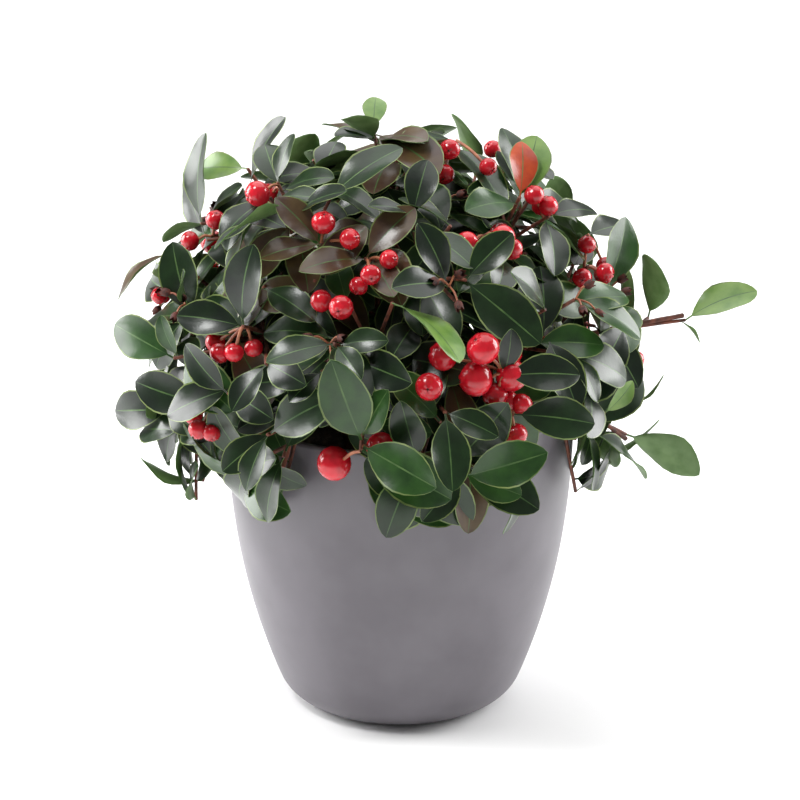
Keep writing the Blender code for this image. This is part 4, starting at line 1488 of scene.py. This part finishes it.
class WINTERGREEN_OT_plant(bpy.types.Operator):
    """Grow the stems, twigs, leaves and berries"""

    bl_idname = "wintergreen.plant"
    bl_label = "Shrub"

    def execute(self, context):
        masses, paths = grown_masses(settings().fill)
        foliage = node_names("foliage_")
        kinds = plant_materials()
        settle(make_stems(paths, kinds), node_names("stem_"))
        settle(make_twigs(masses, kinds), foliage)
        settle(make_berries(masses, kinds), foliage)
        settle(make_withered(masses, kinds), foliage)
        leaves = leaf_materials()
        for i, ring in enumerate([*(ring.name for ring in RINGS), "spray"]):
            group = [mass for mass in masses if mass.name.startswith(ring)]
            piece = make_leaves(f"leaves_{ring}", group, leaves, SEED + 10 + i)
            settle(piece, node_names(f"foliage_{ring}"))
        return {"FINISHED"}


class WINTERGREEN_OT_stage(bpy.types.Operator):
    """Set the pale floor, the soft light and the camera"""

    bl_idname = "wintergreen.stage"
    bl_label = "Stage"

    def execute(self, context):
        scene = context.scene
        scene.view_settings.view_transform = "Standard"
        mesh = bpy.data.meshes.new("floor")
        corners = ((-1, -1), (1, -1), (1, 1), (-1, 1))
        points = [(x * FLOOR_REACH, y * FLOOR_REACH, 0) for x, y in corners]
        mesh.from_pydata(points, [], [(0, 1, 2, 3)])
        # Painted studio floor: matt and nearly white
        paint = surface("pale_floor", ("#f4f4f4", "#f7f7f7"), roughness=0.9, size_mm=400)
        mesh.materials.append(paint)
        floor = new_object("floor", mesh)
        floor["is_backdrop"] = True

        world = bpy.data.worlds.new("studio")
        world.use_nodes = True
        background = world.node_tree.nodes["Background"]
        background.inputs["Color"].default_value = (1, 1, 1, 1)
        background.inputs["Strength"].default_value = WORLD_STRENGTH
        scene.world = world

        overhead = bpy.data.lights.new("overhead", "SUN")
        overhead.energy = OVERHEAD_STRENGTH
        overhead.angle = radians(OVERHEAD_WIDTH)
        tilt = [radians(angle) for angle in OVERHEAD_TILT]
        new_object("overhead", overhead).rotation_euler = tilt
        for name, place, size, power in SOFTBOXES:
            light = bpy.data.lights.new(name, "AREA")
            light.energy = power
            light.size = size
            lamp = new_object(name, light)
            lamp.location = place
            lamp.rotation_euler = (LIT_POINT - lamp.location).to_track_quat("-Z", "Y").to_euler()

        camera = new_object("camera", bpy.data.cameras.new("camera"))
        camera.data.sensor_width = SENSOR
        camera.data.lens = FOCAL_PIXELS * SENSOR / FRAME_PIXELS
        distance = settings().camera_distance
        height = CAMERA_AIM + distance * sin(CAMERA_RISE)
        camera.location = (0, -distance * cos(CAMERA_RISE), height)
        camera.rotation_euler = (pi / 2 - CAMERA_PITCH, 0, 0)
        scene.camera = camera
        return {"FINISHED"}


class WINTERGREEN_PT_panel(bpy.types.Panel):
    """Sizes, colours and build buttons"""

    bl_label = "Wintergreen"
    bl_idname = "WINTERGREEN_PT_panel"
    bl_space_type = "VIEW_3D"
    bl_region_type = "UI"
    bl_category = "Wintergreen"

    def draw(self, context):
        for name in SETTING_NAMES:
            self.layout.prop(context.scene.wintergreen, name)
        for step in STEPS:
            self.layout.operator(step.bl_idname)


STEPS = (WINTERGREEN_OT_pot, WINTERGREEN_OT_soil, WINTERGREEN_OT_plant, WINTERGREEN_OT_stage)
CLASSES = (WintergreenSettings, *STEPS, WINTERGREEN_PT_panel)


def register():
    """Registers the classes and the scene's settings."""
    for item in CLASSES:
        bpy.utils.register_class(item)
    bpy.types.Scene.wintergreen = PointerProperty(type=WintergreenSettings)


def unregister():
    """Removes the settings and the classes again."""
    del bpy.types.Scene.wintergreen
    for item in reversed(CLASSES):
        bpy.utils.unregister_class(item)


def main():
    """Builds every piece in order."""
    register()
    bpy.ops.wintergreen.pot()
    bpy.ops.wintergreen.soil()
    bpy.ops.wintergreen.plant()
    bpy.ops.wintergreen.stage()
    boxes = {"cad": CAD_BOX, "visual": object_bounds()}
    plain = {name: [[float(v) for v in corner] for corner in box] for name, box in boxes.items()}


if __name__ == "__main__":
    main()
